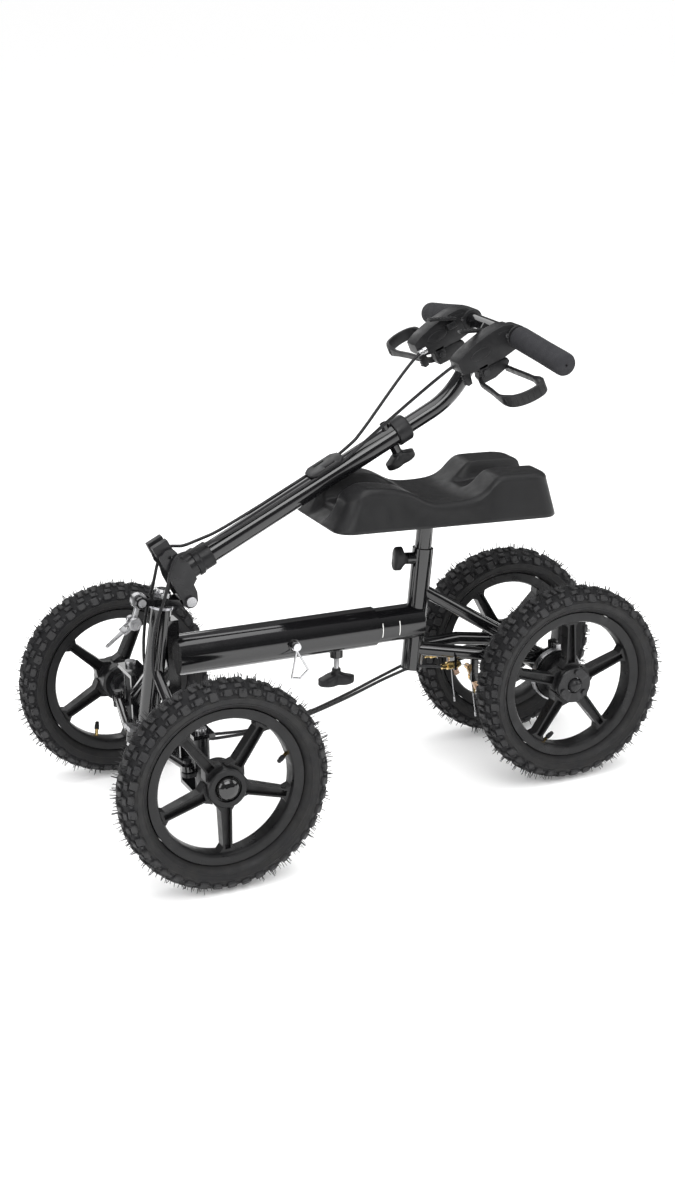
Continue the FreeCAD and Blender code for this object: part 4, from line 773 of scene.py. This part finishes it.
def cut_out(obj, cutter):
    """Cuts one mesh out of another and removes the cutter."""
    modifier = obj.modifiers.new("cut", "BOOLEAN")
    modifier.object = cutter
    modifier.solver = "EXACT"
    place = len(obj.modifiers) - 1
    obj.modifiers.move(place, 0)
    bpy.context.view_layer.update()
    depsgraph = bpy.context.evaluated_depsgraph_get()
    kept = [(m.name, m.show_viewport) for m in obj.modifiers]
    for m in obj.modifiers:
        m.show_viewport = m.name == "cut"
    bpy.context.view_layer.update()
    result = bpy.data.meshes.new_from_object(obj.evaluated_get(depsgraph))
    for name, shown in kept:
        obj.modifiers[name].show_viewport = shown
    obj.modifiers.remove(obj.modifiers["cut"])
    result.name = obj.data.name
    obj.data = result
    bpy.data.objects.remove(cutter)


def oval_pad(name, where, centre, radii, low, high):
    """A low oval pad on the side of a housing."""
    outline = []
    for step in range(40):
        angle = 2 * math.pi * step / 40
        outline.append((centre[0] + radii[0] * math.cos(angle), centre[1] + radii[1] * math.sin(angle)))
    low, high = sorted((low, high))
    moulded_plate(name, outline, low, high, where, "handlebar", bevel=0.9)


def lever_line():
    """The middle of a lever's loop, forward of the bar and out along the grip, in even steps."""
    forward_arm = [(69, 2, -32), (78, 14, -33), (83, 36, -32), (87, 64, -31), (92, 96, -31), (92, 116, -31)]
    end_bow = [(86, 132, -31), (73, 141, -31), (58, 143.5, -31), (46, 141, -31), (38, 133, -31)]
    rear_arm = [(35.5, 120, -31), (34.5, 100, -31.5), (33, 70, -33), (31, 36, -35.5), (29, 12, -37.5),
                (29, 4, -37.5)]
    line = curve_points(forward_arm + end_bow + rear_arm, 8)
    lengths = np.concatenate([[0], np.cumsum(np.linalg.norm(np.diff(line, axis=0), axis=1))])
    wanted = np.linspace(0, 1, LEVER_STEPS + 1)
    return np.stack([np.interp(wanted, lengths / lengths[-1], line[:, k]) for k in range(3)], 1)


def lever_section(t):
    """The strap is broad where the fingers pull, and has a stop swelling behind that."""
    wide = float(smooth_step(t, 0.28, 0.40) * (1 - smooth_step(t, 0.60, 0.68)))
    half_height = 4.6 + 4.4 * wide
    half_thick = 2.5 + 0.3 * wide
    if 0.63 < t < 0.70:
        half_thick += 2.2 * math.sin(math.pi * (t - 0.63) / 0.07)
    return rounded_bar(half_thick, half_height, 1.1)


def build_lever(side_name):
    """The root block, the strap that loops out under the grip and back, and its finger ribs."""
    where = housing_frame(side_name)
    body = f"lever_{side_name}"
    root = [
        (24, -22), (38, -19.5), (62, -17.5), (72, -20), (75, -30),
        (72, -40), (52, -41), (30, -36), (22, -29),
    ]
    block = moulded_plate(f"lever_root_{side_name}", root, -9.6, 9.6, where, body, bevel=2.2, smooth=45)
    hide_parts(f"brake_lever_{side_name}")
    line = lever_line()
    sweep(f"lever_loop_{side_name}", line, lever_section, where, PLASTIC, body, smooth=40,
          slot="black_plastic")
    for number in range(9):
        index = int((0.36 + 0.026 * number) * LEVER_STEPS)
        point, following = Vector(line[index]), Vector(line[index + 1])
        finger_rib(f"lever_rib_{side_name}_{number}", point, following - point, where, body)


def finger_rib(name, point, run, where, body):
    """A low upright bump on the outer face of the lever's strap."""
    run = run.normalized()
    outward = run.cross(Vector((0, 0, 1))).normalized()
    if outward.y < 0:
        outward = -outward
    verts = []
    for half_long, half_tall, out in ((1.1, 6.4, 2.4), (0.6, 5.8, 3.7)):
        for along, up in ((-1, -1), (1, -1), (1, 1), (-1, 1)):
            verts.append(point + run * half_long * along + Vector((0, 0, half_tall * up)) + outward * out)
    faces = [(0, 1, 2, 3), (4, 5, 6, 7), (0, 1, 5, 4), (1, 2, 6, 5), (2, 3, 7, 6), (3, 0, 4, 7)]
    finish_mesh(name, verts, faces, where, PLASTIC, body, slot="black_plastic", bevel=0.3)


def build_tab(side_name):
    """The ribbed finger tab that parks the lever."""
    where = housing_frame(side_name)
    body = f"tab_{side_name}"
    finger = [
        (84.5, -6), (88, -4.4), (92, -5), (94, -9), (94.5, -18),
        (96, -30), (93, -34), (86, -33), (84.6, -20),
    ]
    piece = moulded_plate(f"park_tab_{side_name}_moulded", finger, -4, 4, where, body, bevel=1.0)
    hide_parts(f"park_tab_{side_name}")
    for rib in range(4):
        low = -31 + rib * 4.2
        bump = [(94.2, low), (96.8, low + 0.6), (96.8, low + 2.0), (94.2, low + 2.6)]
        moulded_plate(f"park_tab_rib_{side_name}_{rib}", bump, -3.4, 3.4, where, body, bevel=0.3)


def build_handlebar():
    """The grips, and a housing, lever and park tab on each side."""
    build_grips()
    for index, name in enumerate(SIDES):
        shell = build_housing(name)
        if index == 0:
            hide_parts("lever_housings")
        build_lever(name)
        build_tab(name)


# ---- cable guide -------------------------------------------------------------------------------

GUIDE_BASE, GUIDE_STATION = 54.1, 272


def build_cable_guide():
    """The broad plate with cut corners and two short slots that holds the cables down on the column."""
    where = turned_frame(COLUMN, (GUIDE_BASE, 0, GUIDE_STATION), (0, 0, 1), (0, 1, 0))
    half_long, half_wide, corner = 29, 20, 9
    outline = []
    for across, along in ((1, 1), (1, -1), (-1, -1), (-1, 1)):
        end_point = (across * (half_wide - corner), along * half_long)
        side_point = (across * half_wide, along * (half_long - corner))
        outline += [end_point, side_point] if across * along > 0 else [side_point, end_point]
    guide = moulded_plate("cable_guide_moulded", outline, -4, 0, where, "column", bevel=1.4)
    for side, low in ((1, -4), (-1, -13)):
        middle = side * 11
        slot_line = [(middle - 2, low), (middle + 2, low), (middle + 2, low + 17), (middle - 2, low + 17)]
        cut_out(guide, plate("cable_guide_slot", slot_line, -8, 4, where, PLASTIC, None, bevel=0.0))
    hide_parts("cable_guide")


# ---- latch lever -------------------------------------------------------------------------------

LATCH_SLOPE = 36.2


def zinc_plate(name, outline, low, high, matrix, body, **options):
    """A plate of zinc-plated steel."""
    return plate(name, outline, low, high, matrix, ZINC, body, slot="zinc_steel", **options)


def build_latch_lever():
    """Two plated cams on the cross pin, the left one larger, and a slim handle with a narrow tip."""
    where = axes_frame(joint_at("latch_lever_turn"), *(Vector(axis) for axis in tilt(LATCH_SLOPE)))
    across = where @ Matrix.Rotation(math.radians(-90), 4, "X")
    for name, side, radius in (("left", 1, 9.5), ("right", -1, 8.0)):
        low, high = sorted((side * 5.5, side * 12))
        rim = [(radius - 0.8, low), (radius, low + 0.8), (radius, high - 0.8), (radius - 0.8, high)]
        ring = [(4.1, low)] + rim + [(4.1, high)]
        cam = lathe(f"latch_cam_{name}", ring, across, ZINC, "latch", segments=48, closed=True,
                    slot="zinc_steel")
        arm = [(0, -3), (21, -2.4), (21, 2.4), (0, 3)]
        zinc_plate(f"latch_arm_{name}", arm, low + 1.2, high - 1.2, where, "latch", bevel=0.8)
    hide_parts("latch_lever")
    bridge = [(13, -2.6), (22, -2.6), (22, 2.6), (13, 2.6)]
    zinc_plate("latch_bridge", bridge, -11, 11, where, "latch", bevel=0.9)
    flat = where @ Matrix.Rotation(math.radians(90), 4, "X")
    edge = [(19, 5.5), (30, 4), (44, 3.8), (51, 3.2)]
    handle = [(x, -half) for x, half in edge] + [(53, 0)] + edge[::-1]
    zinc_plate("latch_handle", handle, -1.5, 1.5, flat, "latch", bevel=0.6)


# ---- clamp knobs -------------------------------------------------------------------------------

def build_knobs():
    """The beam's knob points down, the seat's forward and the column's back; each has its screw."""
    knobs = [
        ("beam", BEAM, (0, 0, -6), (0, 0, -1), (1, 0, 0), 29),
        ("seat", POST, (4, 0, 0), (1, 0, 0), (0, 0, 1), 18.5),
        ("column", COLUMN, (9, 0, 380), (-1, 0, 0), (0, 0, 1), 24),
    ]
    for name, base, at, away, wings, reach in knobs:
        knob = wing_knob(f"{name}_knob_moulded", turned_frame(base, at, away, wings), reach, f"{name}_knob")
        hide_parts(f"{name}_clamp_knob")
    screws = [
        ("beam", BEAM, (0, 0, -8), (0, 0, 1), (1, 0, 0), [(4, 0), (4, 34), (3.4, 35)]),
        ("seat", POST, (6, 0, 0), (-1, 0, 0), (0, 0, 1), [(4, 0), (4, 14)]),
        ("column", COLUMN, (8, 0, 380), (1, 0, 0), (0, 0, 1), [(4, 0), (4, 14)]),
    ]
    for name, base, at, along, across, profile in screws:
        lathe(f"{name}_knob_screw", profile, turned_frame(base, at, along, across), ZINC, f"{name}_knob",
              segments=28, slot="zinc_steel")


# ---- small marks -------------------------------------------------------------------------------

def build_index_marks():
    """Two painted lines on each side of the sliding tube, just behind the beam."""
    slider = BEAM @ Matrix.Translation((252, 0, 60))
    radius = 27.12
    for number, x in enumerate((-317, -345)):
        for name, side in SIDES.items():
            verts, faces = [], []
            for step in range(13):
                angle = math.radians(-24 + 48 * step / 12)
                for offset in (-0.7, 0.7):
                    verts.append((x + offset, side * radius * math.cos(angle), radius * math.sin(angle)))
            for step in range(12):
                faces.append((2 * step, 2 * step + 1, 2 * step + 3, 2 * step + 2))
            finish_mesh(f"index_mark_{name}_{number}", verts, faces, slider, MARK, "rear", smooth=60)


# ---- cables ------------------------------------------------------------------------------------

CABLE_RADIUS = 2.4
CABLE_BOW = 0.42


def to_ground(base, point):
    """A point of a frame, in ground millimetres."""
    return tuple((base @ Vector(point)) / MM)


def side_points(base, side, points):
    """Points of a frame on one side of the scooter, in ground millimetres."""
    return [to_ground(base, (x, side * y, z)) for x, y, z in points]


def cable(name, points, body):
    """A cable that rides on one body."""
    line = curve_points(points, 8)
    sweep(name, line, circle(CABLE_RADIUS, 12), GROUND, CABLE, body, up=tube_up(line), smooth=60)


def cable_across(name, points):
    """A cable between points on two bodies, left in ground coordinates on no body."""
    line = curve_points(points, 10)
    obj = sweep(name, line, circle(CABLE_RADIUS, 12), GROUND, CABLE, None, up=tube_up(line), smooth=60)
    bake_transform(obj)


def arc_points(start, leave, end, arrive):
    """Points of a smooth arc that leaves and reaches its two ends along the given directions."""
    start, end = np.array(start), np.array(end)
    strength = CABLE_BOW * np.linalg.norm(end - start)
    leave, arrive = (strength * np.array(way.to_3d().normalized()) for way in (leave, arrive))
    points = []
    for step in range(9):
        t = step / 8
        points.append((2 * t ** 3 - 3 * t ** 2 + 1) * start + (t ** 3 - 2 * t ** 2 + t) * leave
                      + (3 * t ** 2 - 2 * t ** 3) * end + (t ** 3 - t ** 2) * arrive)
    return points


def build_cables():
    """Two brake cables: levers, column, steering head, beam, and the two brakes at the back."""
    for name, side in SIDES.items():
        last = build_column_cable(name, side)
        last = build_head_cable(name, side, last)
        build_rear_cable(name, side, last)
        build_brake_wire(name, side)


def build_column_cable(name, side):
    """From the housing in a free arc to the guide, then down the column; gives its last point."""
    nose = housing_frame(name)
    exit_point = to_ground(nose, Vector(HOUSING_NOSE) + Vector((2, 0, 0)))
    guide_in, guide_mid = side_points(COLUMN, side, [(57, 13.2, 330), (51.6, 13.4, 298)])
    arrive = -COLUMN.col[2] - 0.2 * COLUMN.col[0]
    points = arc_points(exit_point, nose.col[0], guide_in, arrive) + [guide_mid]
    cable_across(f"cable_upper_{name}", points)
    under_guide = side_points(COLUMN, side, [(51.4, 13.5, 272), (51.4, 13.5, 246)])
    run = side_points(COLUMN, side, [(51.8, 13, 200), (52, 13, 150), (54, 13, 90), (59, 12, 60)])
    cable(f"cable_column_{name}", [guide_mid] + under_guide + run, "column")
    return run[-1]


def build_head_cable(name, side, first):
    """A loop round the fold hinge, then down beside the head tube and under the beam."""
    loop = side_points(COLUMN, side, [(63, 15, 36), (70, 25, 8)])
    loop += side_points(HEAD, side, [(6, 27, 26), (12, 24, -6), (14, 21, -34)])
    cable_across(f"cable_loop_{name}", [first] + loop)
    down = side_points(HEAD, side, [(13, 19.5, -60), (8, 18.5, -92), (-6, 18, -120), (-30, 17, -150)])
    down += side_points(GROUND, side, [(296, 16, 152), (268, 13, 133), (236, 9, 124)])
    cable_across(f"cable_head_{name}", [loop[-1]] + down)
    return down[-1]


def build_rear_cable(name, side, first):
    """Along the underside of the sliding beam to the brake's adjuster."""
    run = side_points(GROUND, side, [(175, 5, 121), (120, 4, 125), (77, 4, 133), (20, 5, 148)])
    run += side_points(GROUND, side, [(-40, 6, 167), (-78, 8, 178)])
    cable_across(f"cable_beam_{name}", [first] + run)
    tail = side_points(GROUND, side, [(-100, 15, 182), (-118, 24, 182), (-133, 28, 180)])
    cable(f"cable_tail_{name}", [run[-1]] + tail, "rear")


def build_brake_wire(name, side):
    """The bare wire from the adjuster to the brake arm, and its loose end with a crimp."""
    arm = f"arm_{name}"
    wire = side_points(GROUND, side, [(-160, 28, 180), (-168, 31, 178), (-173, 33.5, 174.6)])
    inner = sweep(f"inner_wire_{name}", curve_points(wire, 6), circle(0.8, 8), GROUND, ZINC, None, smooth=60)
    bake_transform(inner)
    loose = side_points(GROUND, side, [(-173, 33.5, 174.6), (-178, 34, 150), (-181, 35, 122), (-184, 35, 98)])
    sweep(f"wire_end_{name}", curve_points(loose, 8), circle(0.7, 8), GROUND, ZINC, arm, up=(0, 1, 0),
          smooth=60)
    crimp = np.array(side_points(GROUND, side, [(-183.6, 35, 100), (-184.6, 35, 92)]))
    sweep(f"wire_crimp_{name}", crimp, circle(1.5, 10), GROUND, ZINC, arm, up=(0, 1, 0), smooth=60)


# ---- studio ------------------------------------------------------------------------------------

FLOOR_Z = -0.0008


def floor_surface():
    """A nearly white, faintly uneven matt floor."""
    material = bpy.data.materials.new("studio_floor")
    material.use_nodes = True
    tree = material.node_tree
    shader = tree.nodes["Principled BSDF"]
    noise = tree.nodes.new("ShaderNodeTexNoise")
    noise.inputs["Scale"].default_value = 3.0
    ramp = tree.nodes.new("ShaderNodeValToRGB")
    ramp.color_ramp.elements[0].color = (0.88, 0.88, 0.88, 1)
    ramp.color_ramp.elements[1].color = (0.91, 0.91, 0.91, 1)
    tree.links.new(noise.outputs["Fac"], ramp.inputs["Fac"])
    tree.links.new(ramp.outputs["Color"], shader.inputs["Base Color"])
    shader.inputs["Roughness"].default_value = 0.8
    shader.inputs["Specular IOR Level"].default_value = 0.1
    shader.inputs["Emission Color"].default_value = (1, 1, 1, 1)
    shader.inputs["Emission Strength"].default_value = 0.13
    return material


def soft_box(name, place, width, height, power):
    """A rectangular lamp that faces the middle of the scooter."""
    light = bpy.data.lights.new(name, "AREA")
    light.shape = "RECTANGLE"
    light.size = width
    light.size_y = height
    light.energy = power
    lamp = bpy.data.objects.new(name, light)
    bpy.context.scene.collection.objects.link(lamp)
    lamp.location = place
    lamp.rotation_euler = (Vector((0, 0, 0.35)) - Vector(place)).to_track_quat("-Z", "Y").to_euler()


def build_sky():
    """White for the eye and for the matt surfaces; a dark room with a pale ceiling for the glossy ones."""
    world = bpy.data.worlds.new("studio_sky")
    bpy.context.scene.world = world
    world.use_nodes = True
    nodes, links = world.node_tree.nodes, world.node_tree.links
    path = nodes.new("ShaderNodeLightPath")
    place = nodes.new("ShaderNodeTexCoord")
    split = nodes.new("ShaderNodeSeparateXYZ")
    ramp = nodes.new("ShaderNodeValToRGB")
    ramp.color_ramp.elements[0].position = 0.35
    ramp.color_ramp.elements[0].color = (0.10, 0.10, 0.10, 1)
    ramp.color_ramp.elements[1].position = 1.0
    ramp.color_ramp.elements[1].color = (0.42, 0.42, 0.43, 1)
    mix = nodes.new("ShaderNodeMix")
    mix.data_type = "RGBA"
    mix.inputs[6].default_value = (1.0, 1.0, 1.0, 1)
    links.new(place.outputs["Generated"], split.inputs["Vector"])
    links.new(split.outputs["Z"], ramp.inputs["Fac"])
    links.new(path.outputs["Is Glossy Ray"], mix.inputs[0])
    links.new(ramp.outputs["Color"], mix.inputs[7])
    links.new(mix.outputs[2], nodes["Background"].inputs["Color"])


def build_studio():
    """A pale floor, five soft boxes and an even pale sky."""
    half = 40.0
    corners = [(x * half, y * half, FLOOR_Z) for x, y in ((-1, -1), (1, -1), (1, 1), (-1, 1))]
    mesh = bpy.data.meshes.new("studio_floor")
    mesh.from_pydata(corners, [], [(0, 1, 2, 3)])
    mesh.materials.append(floor_surface())
    floor = bpy.data.objects.new("studio_floor", mesh)
    bpy.context.scene.collection.objects.link(floor)
    soft_box("key_box", (0.4, 2.6, 2.7), 2.4, 1.4, 50)
    soft_box("top_box", (-0.2, 0.2, 3.2), 3.2, 2.6, 60)
    soft_box("front_box", (3.2, 0.9, 1.5), 1.6, 2.2, 34)
    soft_box("back_box", (-3.0, 1.6, 1.9), 1.8, 2.0, 30)
    soft_box("far_box", (0.3, -3.4, 2.0), 3.0, 1.6, 24)
    build_sky()
    bpy.context.scene.view_settings.view_transform = "Standard"


def build_camera():
    """A long lens ahead of the scooter and to its left, a little above it."""
    azimuth, elevation, roll = math.radians(156.19), math.radians(18.86), math.radians(-1.24)
    back = Vector((math.sin(azimuth) * math.cos(elevation), -math.cos(azimuth) * math.cos(elevation),
                   math.sin(elevation)))
    right = Vector((math.cos(azimuth), math.sin(azimuth), 0))
    up = back.cross(right)
    turned_right = right * math.cos(roll) + up * math.sin(roll)
    turned_up = -right * math.sin(roll) + up * math.cos(roll)
    matrix = Matrix((turned_right, turned_up, back)).transposed().to_4x4()
    matrix.translation = Vector((1.2529, 2.7760, 1.3404))
    camera = bpy.data.cameras.new("camera")
    camera.lens = 64.8
    camera.sensor_width = 36.0
    camera.clip_end = 60
    obj = bpy.data.objects.new("camera", camera)
    bpy.context.scene.collection.objects.link(obj)
    obj.matrix_world = matrix
    bpy.context.scene.camera = obj


dress_cad_nodes()
build_wheels()
build_seat()
build_handlebar()
build_cable_guide()
build_latch_lever()
build_knobs()
build_index_marks()
build_cables()
build_studio()
build_camera()
